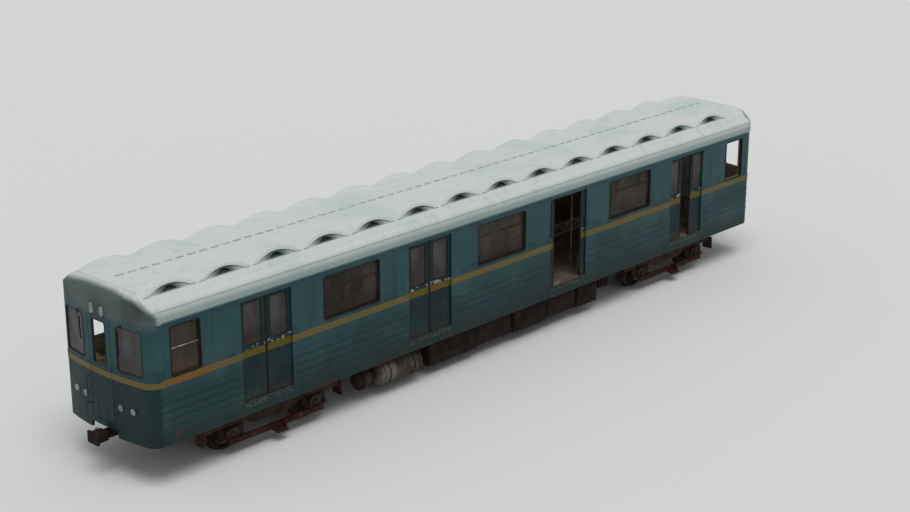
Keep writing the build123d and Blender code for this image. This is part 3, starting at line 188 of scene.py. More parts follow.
class Paint:
    """One procedural material. Its methods add nodes and give back their sockets."""

    def __init__(self, name, roughness=0.6, metallic=0.0, specular=0.15):
        self.material = bpy.data.materials.new(name)
        self.material.use_nodes = True
        self.tree = self.material.node_tree
        self.shader = self.tree.nodes["Principled BSDF"]
        looks = {"Roughness": roughness, "Metallic": metallic, "Specular IOR Level": specular}
        for socket, value in looks.items():
            self.shader.inputs[socket].default_value = value
        coordinates = self.add("TexCoord").outputs
        self.place, self.facing = coordinates["Object"], coordinates["Normal"]
        self.x, self.y, self.z = self.add("SeparateXYZ", self.place).outputs
        self.out_x = self.math("ABSOLUTE", self.x)
        self.out_y = self.math("ABSOLUTE", self.y)

    def add(self, kind, *values, **settings):
        """A new node with its settings made and inputs filled in order. None skips an input."""
        node = self.tree.nodes.new(f"ShaderNode{kind}")
        for name, value in settings.items():
            setattr(node, name, value)
        for socket, value in zip(node.inputs, values):
            self.put(socket, value)
        return node

    def put(self, socket, value):
        if isinstance(value, bpy.types.NodeSocket):
            self.tree.links.new(value, socket)
        elif value is not None:
            socket.default_value = value

    def math(self, operation, a, b=None, c=None):
        return self.add("Math", a, b, c, operation=operation).outputs[0]

    def times(self, *values):
        """Product of any number of values."""
        product = values[0]
        for value in values[1:]:
            product = self.math("MULTIPLY", product, value)
        return product

    def ramp(self, value, low, high):
        """0 below low, 1 above high, smooth between; low may be the greater."""
        node = self.add("MapRange", value, low, high, interpolation_type="SMOOTHSTEP")
        return node.outputs[0]

    def band(self, value, low, high, soft):
        """1 between low and high, falling to 0 over soft on each side."""
        return self.times(self.ramp(value, low - soft, low), self.ramp(value, high + soft, high))

    def noise(self, scale, detail=4.0, stretch=(1, 1, 1), seed=0.0):
        """Noise of that many cells a metre, made long along an axis by a stretch over 1."""
        squeeze = tuple(1 / s for s in stretch)
        scaled = self.add("VectorMath", self.place, squeeze, operation="MULTIPLY").outputs[0]
        moved = self.add("VectorMath", scaled, (seed, seed, seed), operation="ADD").outputs[0]
        return self.add("TexNoise", moved, None, scale, detail).outputs[0]

    def patches(self, scale, low, high, **how):
        """Noise cut to separate patches, 0 to 1."""
        return self.ramp(self.noise(scale, **how), low, high)

    def mix(self, share, first, second):
        node = self.add("Mix", share, data_type="RGBA")
        self.put(node.inputs[6], first)
        self.put(node.inputs[7], second)
        return node.outputs[2]

    def cover(self, colour, top, *shares):
        """The colour with another laid over it, as strong as the product of the shares."""
        return self.mix(self.times(*shares), colour, top)

    def lay(self, top, *shares):
        """Lays another colour over the paint's own."""
        self.colour = self.cover(self.colour, top, *shares)

    def inside(self, at_end):
        """1 on faces that look into the car. At an end they look along it, elsewhere across."""
        outward = self.add("VectorMath", self.place, self.facing, operation="MULTIPLY")
        along, across = self.add("SeparateXYZ", outward.outputs[0]).outputs[:2]
        end_face = self.times(self.ramp(along, -4.0, -7.0), at_end)
        side_face = self.times(self.ramp(across, -0.6, -1.0), self.math("SUBTRACT", 1.0, at_end))
        return self.math("MAXIMUM", end_face, side_face)

    def finish(self, rough=None, height=None, depth=0.002, strength=0.5):
        """Joins colour, roughness and bump height to the shader and gives the material."""
        self.put(self.shader.inputs["Base Color"], self.colour)
        self.put(self.shader.inputs["Roughness"], rough)
        if height is not None:
            bump = self.add("Bump", strength, depth)
            self.put(bump.inputs["Height"], height)
            self.put(self.shader.inputs["Normal"], bump.outputs[0])
        return self.material


def weathered_white(paint):
    """Chalky roof enamel with faint green patches and soot."""
    colour = paint.mix(paint.patches(0.7, 0.48, 0.72, seed=2.0), ROOF_WHITE, ROOF_MINT)
    soot = paint.patches(4.0, 0.52, 0.8, detail=7.0, seed=6.0)
    colour = paint.cover(colour, ROOF_GREY, soot, 0.22)
    drips = paint.patches(5.0, 0.56, 0.8, stretch=(1, 5, 5), detail=5.0, seed=31.0)
    return paint.cover(colour, ROOF_GREY, drips, paint.ramp(paint.out_y, 0.9, 1.3), 0.3)


def forehead_grey(paint):
    """Dirty grey of the brow over the end windows."""
    dirt = paint.patches(1.6, 0.35, 0.7, detail=5.0, seed=12.0)
    return paint.mix(dirt, FOREHEAD, FOREHEAD_DIRT)


def above_brow(paint):
    """1 on the white side of the arched border that crosses each end of the roof."""
    square = paint.times(paint.y, paint.y)
    inward = paint.math("SUBTRACT", END_X, paint.math("MULTIPLY_ADD", square, 0.085, paint.out_x))
    inward = paint.math("MINIMUM", inward, 0.3)
    arch = paint.math("ADD", paint.math("MULTIPLY_ADD", square, 0.17, paint.z), inward)
    wander = paint.math("MULTIPLY_ADD", paint.noise(2.5, seed=40.0), 0.12, -0.06)
    high = paint.ramp(paint.z, EAVES_Z, EAVES_Z + 0.1)
    return paint.times(paint.ramp(paint.math("ADD", arch, wander), 3.66, 3.9), high)


def inner_enamel(paint):
    """Grimy cream of the doors and ends inside the car."""
    return paint.mix(paint.patches(2.0, 0.35, 0.7, seed=15.0), CREAM, CREAM_DIRT)


def body_paint():
    paint = Paint("body_enamel", specular=0.18)
    above = paint.ramp(paint.z, BELT_LOW_Z - 0.2, BELT_HIGH_Z)
    paint.colour = paint.mix(above, TEAL_LOWER, TEAL_UPPER)
    paint.lay(TEAL_FADED, paint.patches(1.1, 0.45, 0.72, seed=3.0), 0.5)
    paint.lay(TEAL_BLUE, paint.patches(0.8, 0.5, 0.62, seed=61.0), 0.6)
    streaks = paint.patches(6.0, 0.5, 0.8, stretch=(1, 1, 9), seed=8.0)
    paint.lay(TEAL_DARK, streaks, 0.3)
    low = paint.ramp(paint.z, SKIRT_Z + 0.42, SKIRT_Z + 0.1)
    paint.lay(SKIRT_GREEN, low, 0.8)
    between = paint.ramp(paint.out_x, 6.2, 4.6)
    paint.lay(TEAL_DARK, paint.ramp(paint.z, 1.65, 1.15), between, 0.45)
    grime = paint.patches(3.0, 0.35, 0.7, seed=5.0)
    paint.lay(DIRT, low, grime, 0.4)
    edge = paint.ramp(paint.z, SKIRT_Z + 0.05, SKIRT_Z + 0.01)
    paint.lay(RUST, edge, paint.patches(2.0, 0.48, 0.66, seed=23.0), 0.5)
    at_end = paint.ramp(paint.out_x, SIDE_END_X, SIDE_END_X + 0.12)
    under_belt = paint.ramp(paint.z, BELT_HIGH_Z, BELT_LOW_Z)
    paint.lay(TEAL_DARK, at_end, under_belt, 0.8)
    under_windows = paint.band(paint.z, BELT_HIGH_Z, BELT_HIGH_Z + 0.16, 0.1)
    paint.lay(TEAL_DARK, under_windows, grime, 0.6)
    # Painted shade in the hollows between the ribs of the lower panels
    rib_turn = 2 * math.pi / RIB_PITCH
    turn = paint.math("MULTIPLY_ADD", paint.z, rib_turn, -rib_turn * RIB_Z)
    valley_shade = paint.ramp(paint.math("COSINE", turn), 0.3, -0.5)
    ribbed = paint.band(paint.z, RIB_Z - 0.06, RIB_Z + 3 * RIB_PITCH + 0.06, 0.02)
    paint.lay(TEAL_DARK, valley_shade, ribbed, 0.32)
    rust = paint.patches(5.0, 0.67, 0.74, detail=8.0, stretch=(1, 1, 2), seed=21.0)
    paint.lay(RUST, rust, 0.5)
    chips = paint.patches(22.0, 0.72, 0.76, detail=3.0, seed=50.0)
    paint.lay(TEAL_FADED, chips, 0.8)
    belt = paint.band(paint.z, BELT_LOW_Z + 0.01, BELT_HIGH_Z - 0.01, 0.006)
    ochre = paint.mix(paint.patches(4.0, 0.4, 0.7, seed=13.0), OCHRE, OCHRE_DULL)
    paint.lay(ochre, belt)
    paint.lay(forehead_grey(paint), paint.ramp(paint.z, 3.0, 3.2), at_end)
    paint.lay(weathered_white(paint), above_brow(paint))
    paint.lay(inner_enamel(paint), paint.inside(at_end))
    rough = paint.add("MapRange", streaks, 0.0, 1.0, 0.42, 0.7).outputs[0]
    height = paint.noise(2.2, detail=2.0, seed=4.0)
    return paint.finish(rough, height, depth=0.012, strength=0.35)


def belt_paint():
    paint = Paint("belt_enamel", roughness=0.5)
    dull = paint.patches(3.0, 0.4, 0.68, stretch=(3, 1, 1), seed=13.0)
    paint.colour = paint.mix(dull, OCHRE, OCHRE_DULL)
    near_corner = paint.ramp(paint.x, 6.5, 8.8)
    paint.lay(OCHRE_RUST, near_corner, paint.patches(3.0, 0.4, 0.6, seed=33.0))
    paint.lay(DIRT, paint.patches(14.0, 0.55, 0.75, seed=2.0), 0.6)
    return paint.finish(height=paint.noise(30.0), depth=0.001)


def leaf_paint():
    paint = Paint("leaf_enamel", roughness=0.5)
    worn = paint.patches(2.0, 0.35, 0.7, seed=7.0)
    paint.colour = paint.mix(worn, srgb(16, 36, 40), srgb(26, 48, 50))
    streaks = paint.patches(12.0, 0.5, 0.8, stretch=(1, 1, 10), seed=1.0)
    paint.lay(SOOT_AND_SHADE, streaks, 0.5)
    belt = paint.band(paint.z, BELT_LOW_Z, BELT_HIGH_Z, 0.006)
    paint.lay(OCHRE_LEAF, belt)
    sill = paint.band(paint.z, BELT_HIGH_Z + 0.02, BELT_HIGH_Z + 0.085, 0.02)
    paint.lay(PRIMER, sill, paint.patches(9.0, 0.54, 0.6, seed=19.0))
    low = paint.ramp(paint.z, FLOOR_Z + 0.3, FLOOR_Z)
    paint.lay(DIRT, low, 0.6)
    scuffs = paint.patches(20.0, 0.56, 0.7, detail=6.0, seed=29.0)
    paint.lay(STEEL, scuffs, low, 0.5)
    paint.lay(inner_enamel(paint), paint.inside(0.0))
    return paint.finish(height=paint.noise(3.0, detail=2.0), depth=0.006)


def scoop_reach(paint):
    """Distance along the car from the middle of the nearest scoop."""
    steps = paint.math("DIVIDE", paint.math("SUBTRACT", paint.x, SCOOP_FIRST_X), SCOOP_PITCH)
    part = paint.math("SUBTRACT", steps, paint.math("ROUND", steps))
    return paint.times(paint.math("ABSOLUTE", part), SCOOP_PITCH)


def roof_paint():
    paint = Paint("roof_enamel", roughness=0.75, specular=0.3)
    paint.colour = weathered_white(paint)
    # Painted shade on the roof's steep lower shoulder, darker towards the eaves
    cove_shade = paint.ramp(paint.z, 3.48, 3.24)
    paint.lay(COVE_SHADE, cove_shade, 0.75)
    strip = paint.band(paint.z, DRIP_Z - 0.01, DRIP_Z + 0.01, 0.012)
    paint.lay(ROOF_GREY, strip, paint.ramp(paint.out_y, 1.2, 1.25), 0.3)
    gutter = paint.ramp(paint.out_y, HALF_W + 0.001, HALF_W + 0.003)
    paint.lay(GUTTER, gutter)
    # Painted shade in the scoops' mouths: grey over each mouth, near black at its middle, none past
    # the last scoop
    reach = scoop_reach(paint)
    fall = paint.math("MULTIPLY_ADD", paint.times(reach, reach), MOUTH_FALL, paint.z)
    inside = paint.ramp(fall, MOUTH_TOP_Z, MOUTH_TOP_Z - 0.012)
    on_slope = paint.band(paint.out_y, MOUTH_INNER_Y, MOUTH_OUTER_Y, 0.05)
    core_shade = paint.ramp(reach, 0.5, 0.08)
    last_x = SCOOP_FIRST_X - (SCOOP_COUNT - 1) * SCOOP_PITCH
    inside = paint.times(inside, on_slope, paint.ramp(paint.x, last_x - 0.6, last_x - 0.55))
    paint.lay(ROOF_GREY, inside, paint.ramp(reach, 0.62, 0.3), 0.85)
    paint.lay(SOOT_AND_SHADE, inside, core_shade, 0.92)
    at_end = paint.ramp(paint.out_x, SIDE_END_X + 0.02, SIDE_END_X + 0.14)
    below = paint.math("SUBTRACT", 1.0, above_brow(paint))
    paint.lay(forehead_grey(paint), at_end, below)
    return paint.finish(height=paint.noise(1.5, detail=2.0), depth=0.02, strength=0.3)


def cheek_paint():
    """Painted shade on the plates in the scoops' mouths: grey, darkest beside the opening."""
    paint = Paint("scoop_cheek_shade", roughness=0.75, specular=0.2)
    near = paint.ramp(scoop_reach(paint), 0.42, 0.12)
    paint.colour = paint.mix(near, srgb(170, 182, 177), srgb(78, 94, 90))
    return paint.finish(height=paint.noise(8.0))


def plain(name, light, dark, scale=6.0, rust=None, **shader):
    """Two tones in patches, with spots of rust where a rust colour is given."""
    paint = Paint(name, **shader)
    paint.colour = paint.mix(paint.patches(scale, 0.35, 0.68, detail=6.0), light, dark)
    if rust:
        spots = paint.patches(scale * 2, 0.55, 0.7, detail=8.0, seed=17.0)
        paint.lay(rust, spots)
    return paint.finish(height=paint.noise(scale * 6))


def sooty(name, light, dark, rust):
    """Running-gear iron: patches, rust spots and brake dust, darkest under the ends."""
    paint = Paint(name, roughness=0.8, specular=0.1)
    paint.colour = paint.mix(paint.patches(5.0, 0.35, 0.65, detail=6.0), light, dark)
    paint.lay(rust, paint.patches(9.0, 0.5, 0.68, detail=8.0, seed=17.0), 0.8)
    dust = paint.patches(3.0, 0.4, 0.7, detail=6.0, seed=44.0)
    paint.lay(DIRT, dust, 0.35)
    paint.lay(SOOT_AND_SHADE, paint.ramp(paint.out_x, 8.2, 8.5), 0.6)
    return paint.finish(height=paint.noise(34.0, detail=6.0), depth=0.003)


def glass(name, clear, dusty, low_tint, thin, thick, end_tint=None):
    """Dirty pane, thin where its film is clear and thick where dust has settled.

    Its lower part has a tint, and near the ends of the car another where one is given."""
    paint = Paint(name, roughness=0.22, specular=0.3)
    film = paint.patches(2.2, 0.38, 0.62, stretch=(1, 1, 2), detail=5.0, seed=9.0)
    paint.colour = paint.mix(film, clear, dusty)
    low = paint.ramp(paint.z, 2.6, 2.25)
    alpha = paint.add("MapRange", film, 0.0, 1.0, thin, thick).outputs[0]
    if end_tint:
        near_end = paint.ramp(paint.out_x, END_PANES_FROM_X, END_PANES_FROM_X + 0.1)
        low_tint = paint.mix(near_end, low_tint, end_tint)
        alpha = paint.math("MAXIMUM", alpha, paint.times(near_end, 0.5))
    paint.lay(low_tint, low, 0.8)
    low_alpha = paint.times(low, (thin + 2 * thick) / 3)
    paint.put(paint.shader.inputs["Alpha"], paint.math("MAXIMUM", alpha, low_alpha))
    return paint.finish()


def threshold_paint():
    """Doorway plates and tracks: dark metal with worn patches and ribs of tread."""
    paint = Paint("threshold_plate", roughness=0.55, metallic=0.2)
    worn = paint.patches(18.0, 0.42, 0.62, detail=5.0, seed=3.0)
    paint.colour = paint.mix(worn, srgb(36, 48, 46), srgb(66, 78, 73))
    tread = paint.math("SINE", paint.times(paint.x, 160.0))
    return paint.finish(height=tread)


def seat_paint():
    paint = Paint("seat_leatherette", roughness=0.5, specular=0.3)
    paint.colour = paint.mix(paint.patches(4.0, 0.35, 0.7), srgb(92, 58, 40), srgb(58, 36, 26))
    cracks = paint.patches(40.0, 0.58, 0.66, detail=8.0, seed=6.0)
    paint.lay(srgb(120, 100, 80), cracks, 0.35)
    return paint.finish(height=paint.noise(240.0, detail=3.0), depth=0.0006)


def reservoir_paint():
    """Dusty paint of the reservoirs, with a painted highlight at the front of the large one, and
    darker on the small one.
    """
    paint = Paint("reservoir_paint", roughness=0.7, specular=0.2)
    worn = paint.patches(4.0, 0.35, 0.65, detail=6.0)
    paint.colour = paint.mix(worn, srgb(76, 68, 62), srgb(44, 38, 34))
    # Painted highlight at the front of the large reservoir, laid on through the dust patches
    tank_highlight = paint.band(paint.x, *TANK_HIGHLIGHT_X, 0.12)
    dust = paint.patches(3.0, 0.3, 0.6, seed=3.0)
    paint.lay(srgb(122, 116, 108), tank_highlight, dust, 0.7)
    small = paint.ramp(paint.x, SMALL_TANK_X, SMALL_TANK_X + 0.05)
    paint.lay(srgb(44, 28, 24), small, 0.8)
    paint.lay(RUST, paint.patches(9.0, 0.56, 0.7, detail=8.0, seed=17.0), 0.5)
    return paint.finish(height=paint.noise(34.0, detail=6.0))


SIDE_PANE_TINTS = (srgb(46, 40, 26), srgb(64, 58, 50), srgb(40, 28, 26))
FINISHES = {
    "body_paint": body_paint(),
    "belt_paint": belt_paint(),
    "roof_paint": roof_paint(),
    "leaf_paint": leaf_paint(),
    "lining": plain("lining_laminate", srgb(216, 204, 166), srgb(184, 168, 128), scale=2.0),
    "floor": plain("floor_linoleum", srgb(112, 98, 86), srgb(80, 68, 60), scale=3.0),
    "seat": seat_paint(),
    "rail_metal": plain("rail_steel", srgb(168, 164, 156), STEEL, metallic=0.7, roughness=0.35),
    "glass": glass("side_pane", *SIDE_PANE_TINTS, 0.3, 0.6, srgb(80, 66, 52)),
    "lamp": plain(
        "lamp_glass", srgb(134, 142, 138), srgb(100, 110, 107), roughness=0.3, specular=0.5
    ),
    "frame_rust": plain("frame_enamel", srgb(62, 40, 30), RUST_DARK, rust=RUST),
    "underframe": sooty("underframe_soot", srgb(36, 30, 28), SOOT_AND_SHADE, RUST_DARK),
    "equipment": sooty("equipment_cover", srgb(42, 35, 32), srgb(26, 21, 20), RUST_DARK),
    "reservoir": reservoir_paint(),
    "bogie": sooty("bogie_rust", srgb(68, 54, 48), srgb(42, 35, 32), srgb(66, 42, 32)),
    "wheel_steel": sooty("wheel_rust", srgb(56, 42, 34), srgb(34, 26, 23), RUST_DARK),
    "beam_wood": sooty("beam_red", srgb(62, 30, 25), srgb(38, 22, 19), RUST_DARK),
}
LEAF_GLASS = glass("leaf_pane", srgb(60, 56, 52), srgb(76, 74, 72), srgb(46, 40, 38), 0.5, 0.78)
END_GLASS = glass("end_pane", srgb(60, 62, 62), srgb(80, 82, 82), srgb(66, 60, 58), 0.62, 0.86)
RUBBER_FINISH = plain("window_rubber", RUBBER, srgb(34, 33, 31), scale=14.0, roughness=0.8)
SEAL_FINISH = plain("end_window_seal", srgb(44, 50, 49), srgb(58, 50, 44), scale=4.0, roughness=0.8)
CEILING_FINISH = plain("ceiling_enamel", srgb(222, 220, 208), srgb(196, 190, 172), scale=1.5)
for part in frame["record"]["subparts"]:
    mesh = NODES[part["node"]].data
    mesh.materials.clear()
    mesh.materials.append(FINISHES[part["material_slot"]])
NODES["door_tracks"].data.materials[0] = threshold_paint()
NODES["end_glass"].data.materials[0] = END_GLASS
NODES["ceiling"].data.materials[0] = CEILING_FINISH


class Shape:
    """Many small solids gathered in one mesh."""

    def __init__(self):
        self.form = bmesh.new()

    def skin(self, rings, closed=False):
        """Skin through rings of points; the first and last are capped unless they join."""
        rows = [[self.form.verts.new(point) for point in ring] for ring in rings]
        count = len(rows[0])
        for one, other in zip(rows, rows[1:] + rows[:1] if closed else rows[1:]):
            for i in range(count):
                j = (i + 1) % count
                self.form.faces.new((one[i], one[j], other[j], other[i]))
        if not closed:
            self.form.faces.new(rows[0][::-1])
            self.form.faces.new(rows[-1])

    def box(self, low, high, bevel=0.003):
        """Box between two corners with rounded edges."""
        size = Vector(high) - Vector(low)
        middle = (Vector(high) + Vector(low)) / 2
        matrix = Matrix.Translation(middle) @ Matrix.Diagonal((*size, 1.0))
        made = bmesh.ops.create_cube(self.form, size=1.0, matrix=matrix)
        edges = list({edge for vertex in made["verts"] for edge in vertex.link_edges})
        bmesh.ops.bevel(
            self.form, geom=edges, offset=bevel, segments=2, affect="EDGES", profile=0.5
        )

    def side_box(self, side, xs, ys, zs, bevel=0.003):
        """Box on the left or right, side 1 or -1; its ys are distances from the car's middle."""
        low_y, high_y = sorted((side * ys[0], side * ys[1]))
        self.box((xs[0], low_y, zs[0]), (xs[1], high_y, zs[1]), bevel)

    def tube(self, points, radius, sides=8, closed=False):
        """Round bar along points; closed joins its ends."""
        points = [Vector(point) for point in points]
        last = len(points) - 1
        normal = None
        rings = []
        for i, point in enumerate(points):
            before = points[i - 1] if closed or i else point
            after = points[(i + 1) % len(points)] if closed or i < last else point
            along = (after - before).normalized()
            if normal is None:
                normal = square_to(along)
            normal = (normal - along * normal.dot(along)).normalized()
            rings.append(circle(point, normal, along.cross(normal), radius, sides))
        self.skin(rings, closed)

    def turned(self, place, axis, profile, sides=12):
        """Solid of revolution. Its profile is rows of distance along the axis and radius."""
        along = Vector(axis).normalized()
        normal = square_to(along)
        across = along.cross(normal)
        place = Vector(place)
        self.skin([circle(place + along * at, normal, across, r, sides) for at, r in profile])

    def bolt(self, place, axis, size=0.014):
        """Hexagon head on a washer."""
        self.turned(place, axis, ((-size, size * 1.5), (0.2 * size, size * 1.5)))
        self.turned(place, axis, ((-size, size), (0.8 * size, size), (size, 0.8 * size)), 6)

    def piece(self, name, body, slot, material=None):
        """The finished mesh as a piece that rides on a body."""
        bmesh.ops.recalc_face_normals(self.form, faces=self.form.faces)
        mesh = mesh_of(name, self.form)
        mesh.materials.append(material or FINISHES[slot])
        mesh.shade_smooth()
        mesh.set_sharp_from_angle(angle=math.radians(35))
        return new_piece(name, mesh, body)


def about(middle, half):
    return middle - half, middle + half


def square_to(along):
    """A direction at right angles to another."""
    return along.cross(UP if abs(along.z) < 0.9 else AHEAD).normalized()


def circle(middle, normal, across, radius, sides):
    """Points round a circle that lies in the plane of two directions."""
    turns = [2 * math.pi * k / sides for k in range(sides)]
    return [middle + radius * (math.cos(t) * normal + math.sin(t) * across) for t in turns]


def rounded(width, height, radius, steps=4):
    """Points round a rectangle with rounded corners, about its middle."""
    points = []
    for quarter in range(4):
        start = quarter * math.pi / 2
        u = (width / 2 - radius) * (1 if quarter in (0, 3) else -1)
        v = (height / 2 - radius) * (1 if quarter in (0, 1) else -1)
        for step in range(steps + 1):
            turn = start + step / steps * math.pi / 2
            points.append((u + radius * math.cos(turn), v + radius * math.sin(turn)))
    return points


def body_of(node):
    return next(body for body, members in BODIES.items() if node in members)


def placed(name, data):
    """A new object in the scene."""
    thing = bpy.data.objects.new(name, data)
    bpy.context.scene.collection.objects.link(thing)
    return thing


def mesh_of(name, form):
    """The finished form as a mesh."""
    mesh = bpy.data.meshes.new(name)
    form.to_mesh(mesh)
    form.free()
    return mesh


def new_piece(name, mesh, body):
    piece = placed(name, mesh)
    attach(piece, body)
    return piece


def solids(shape):
    """The separate solids of a mesh, each as a list of vertices."""
    bmesh.ops.remove_doubles(shape, verts=shape.verts, dist=1e-6)
    found = []
    left = set(shape.verts)
    while left:
        queue = [left.pop()]
        for vertex in queue:
            for edge in vertex.link_edges:
                other = edge.other_vert(vertex)
                if other in left:
                    left.remove(other)
                    queue.append(other)
        found.append(queue)
    return found


def solid_boxes(node, below=math.inf):
    """Lowest and highest corner of each solid's part below a height, from the cab backwards."""
    shape = bmesh.new()
    shape.from_mesh(NODES[node].data)
    boxes = []
    for members in solids(shape):
        places = [vertex.co for vertex in members if vertex.co.z < below]
        if not places:
            continue
        low = Vector(min(place[axis] for place in places) for axis in range(3))
        high = Vector(max(place[axis] for place in places) for axis in range(3))
        boxes.append((low, high))
    shape.free()
    return sorted(boxes, key=lambda corners: (-round(corners[1].x, 3), corners[1].y))


def split_leaf(node):
    """The leaf as two pieces, panel and pane, in the place of its CAD node."""
    mid_y = sum(corner.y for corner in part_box(node)) / 2
    for kind, slot, keep_thin in (("panel", "leaf_paint", False), ("pane", "glass", True)):
        shape = bmesh.new()
        shape.from_mesh(NODES[node].data)
        for members in solids(shape):
            thin = all(abs(vertex.co.y - mid_y) < 0.01 for vertex in members)
            if thin != keep_thin:
                bmesh.ops.delete(shape, geom=members, context="VERTS")
        mesh = mesh_of(f"{node}_{kind}", shape)
        mesh.materials.append(LEAF_GLASS if keep_thin else FINISHES[slot])
        new_piece(f"{node}_{kind}", mesh, body_of(node))
    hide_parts(node)


def leaf_trim(node):
    """Rubber round the pane and along the meeting edge, a kick strip and a pull."""
    low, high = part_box(node)
    front = node.endswith("front")
    edge = low.x if front else high.x
    inward = 1 if front else -1
    mid_z = sum(LEAF_PANE_Z) / 2
    outline = rounded(LEAF_PANE_W, LEAF_PANE_Z[1] - LEAF_PANE_Z[0], WINDOW_R)
    rubber = Shape()
    for y in (low.y + 0.009, high.y - 0.009):
        middle = edge + inward * LEAF_PANE_MID
        rubber.tube([(middle + u, y, mid_z + v) for u, v in outline], 0.011, 6, closed=True)
    lip = sorted((edge - inward * 0.001, edge + inward * 0.028))
    rubber.box((lip[0], low.y - 0.002, low.z + 0.01), (lip[1], high.y + 0.002, high.z - 0.01))
    rubber.piece(f"{node}_rubber", body_of(node), "leaf_paint", RUBBER_FINISH)
    metal = Shape()
    far = sorted((edge + inward * 0.05, edge + inward * (LEAF_W - 0.03)))
    for y in (low.y, high.y):
        metal.box((far[0], y - 0.002, low.z + 0.02), (far[1], y + 0.002, low.z + 0.13), 0.0015)
        pull = sorted((edge + inward * 0.05, edge + inward * 0.075))
        metal.box((pull[0], y - 0.003, PULL_Z[0]), (pull[1], y + 0.003, PULL_Z[1]), 0.0025)
        for step in range(6):
            x = far[0] + 0.02 + step * (far[1] - far[0] - 0.04) / 5
            metal.turned((x, y, low.z + 0.075), (0, 1, 0), ((-0.0035, 0.006), (0.0035, 0.006)), 8)
    metal.piece(f"{node}_strips", body_of(node), "leaf_paint")


def window_rubbers():
    """Rubber round each side window, outside and inside, and strips on the end ones' bars."""
    rubber = Shape()
    for side in (-1, 1):
        for x, width, low, high in WINDOWS:
            outline = rounded(width, high - low, WINDOW_R)
            for y, radius in ((SKIN_Y - 0.002, 0.013), (WINDOW_INNER_Y, 0.01)):
                ring = [(x + u, side * y, (low + high) / 2 + v) for u, v in outline]
                rubber.tube(ring, radius, closed=True)
    rubber.piece("window_rubbers", "car_body", "frame_rust", RUBBER_FINISH)
    bars = Shape()
    for side in (-1, 1):
        xs = about(side * END_WINDOW_X, CROSSBAR_HALF_L)
        bars.side_box(side, xs, about(CROSSBAR_Y, 0.002), about(CROSSBAR_Z, 0.012), 0.0015)
    bars.piece("crossbar_strips", "car_body", "rail_metal")


def end_rubbers(name, body, places, sign):
    """Rubber round windows of a bowed end; sign is 1 at the cab and -1 at the rear."""
    rubber = Shape()
    for mid_y, width, low, high in places:
        ring = []
        for u, v in rounded(width, high - low, WINDOW_R, steps=5):
            ring.append((sign * (end_x(mid_y + u) + 0.001), mid_y + u, (low + high) / 2 + v))
        rubber.tube(ring, 0.010, closed=True)
    rubber.piece(name, body, "frame_rust", SEAL_FINISH)


def end_fittings():
    """Handrails on both ends; lamp rims and lenses and wipers on the cab's."""
    metal = Shape()
    for y in LAMP_YS:
        ring = [(end_x(y) + 0.004, y + u, LAMP_Z + v) for u, v in rounded(0.114, 0.114, 0.056)]
        metal.tube(ring, 0.007, closed=True)
    for y in TOP_LAMP_YS:
        ring = [(end_x(y) + 0.003, y + u, TOP_LAMP_Z + v) for u, v in rounded(0.122, 0.212, 0.06)]
        metal.tube(ring, 0.006, closed=True)
    low, high = HANDRAIL_Z
    for sign in (-1, 1):
        for y in (-HANDRAIL_Y, HANDRAIL_Y):
            x = end_x(y)
            rail = [(x - 0.01, low), (x + 0.045, low), (x + 0.055, low + 0.03)]
            rail += [(x + 0.055, high - 0.03), (x + 0.045, high), (x - 0.01, high)]
            metal.tube([(sign * out, y, z) for out, z in rail], 0.010)
    metal.piece("end_fittings", "car_body", "body_paint")
    lens = Shape()
    for y in LAMP_YS:
        dome = ((-0.006, 0.049), (0.002, 0.048), (0.007, 0.038), (0.010, 0.022), (0.011, 0.004))
        lens.turned((end_x(y), y, LAMP_Z), AHEAD, dome, 24)
    for y in TOP_LAMP_YS:
        rings = []
        for out, share in ((-0.006, 1.0), (0.004, 0.98), (0.010, 0.75), (0.012, 0.3)):
            outline = rounded(0.108 * share, 0.198 * share, 0.053 * share)
            rings.append([(end_x(y) + out, y + u, TOP_LAMP_Z + v) for u, v in outline])
        lens.skin(rings)
    lens.piece("lamp_lenses", "car_body", "lamp")
    wipers = Shape()
    for side in (-1, 1):
        pivot_y, blade_y = side * WIPER_Y, side * BLADE_Y
        out = end_x(blade_y) + 0.004
        wipers.turned((out - 0.02, pivot_y, WIPER_Z), AHEAD, ((0, 0.02), (0.04, 0.016)))
        wipers.tube([(out + 0.018, pivot_y, WIPER_Z), (out + 0.028, blade_y, 2.72)], 0.005, 6)
        wipers.box((out + 0.002, blade_y - 0.005, 2.5), (out + 0.024, blade_y + 0.005, 2.94))
    wipers.piece("wipers", "car_body", "underframe", RUBBER_FINISH)


def door_fittings():
    """Handle and lock of each end door, and a bowed rain strip over the gap above it."""
    hook = [(-0.004, 0.014), (-0.004, 0.022), (0.01, 0.022)]
    hook += [(0.01, -0.004), (0.002, -0.004), (0.002, 0.014)]
    ys = [HOOD_HALF_W * (step / 6 - 1) for step in range(13)]
    for node, sign in (("cab_door", 1), ("rear_door", -1)):
        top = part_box(node)[1].z
        hood = Shape()
        hood.skin([[(sign * (end_x(y) + out), y, top + up) for out, up in hook] for y in ys])
        hood.piece(f"{node}_hood", "car_body", "body_paint")
        metal = Shape()
        y = -sign * HANDLE_Y
        x = end_x(y)
        handle = [(x - 0.01, HANDLE_Z - 0.07), (x + 0.04, HANDLE_Z - 0.06)]
        handle += [(x + 0.04, HANDLE_Z + 0.06), (x - 0.01, HANDLE_Z + 0.07)]
        metal.tube([(sign * out, y, z) for out, z in handle], 0.008)
        lock = (sign * (x - 0.01), y, LOCK_Z)
        metal.turned(lock, (sign, 0, 0), ((0, 0.022), (0.016, 0.018)), 16)
        metal.piece(f"{node}_handle", node, "body_paint")


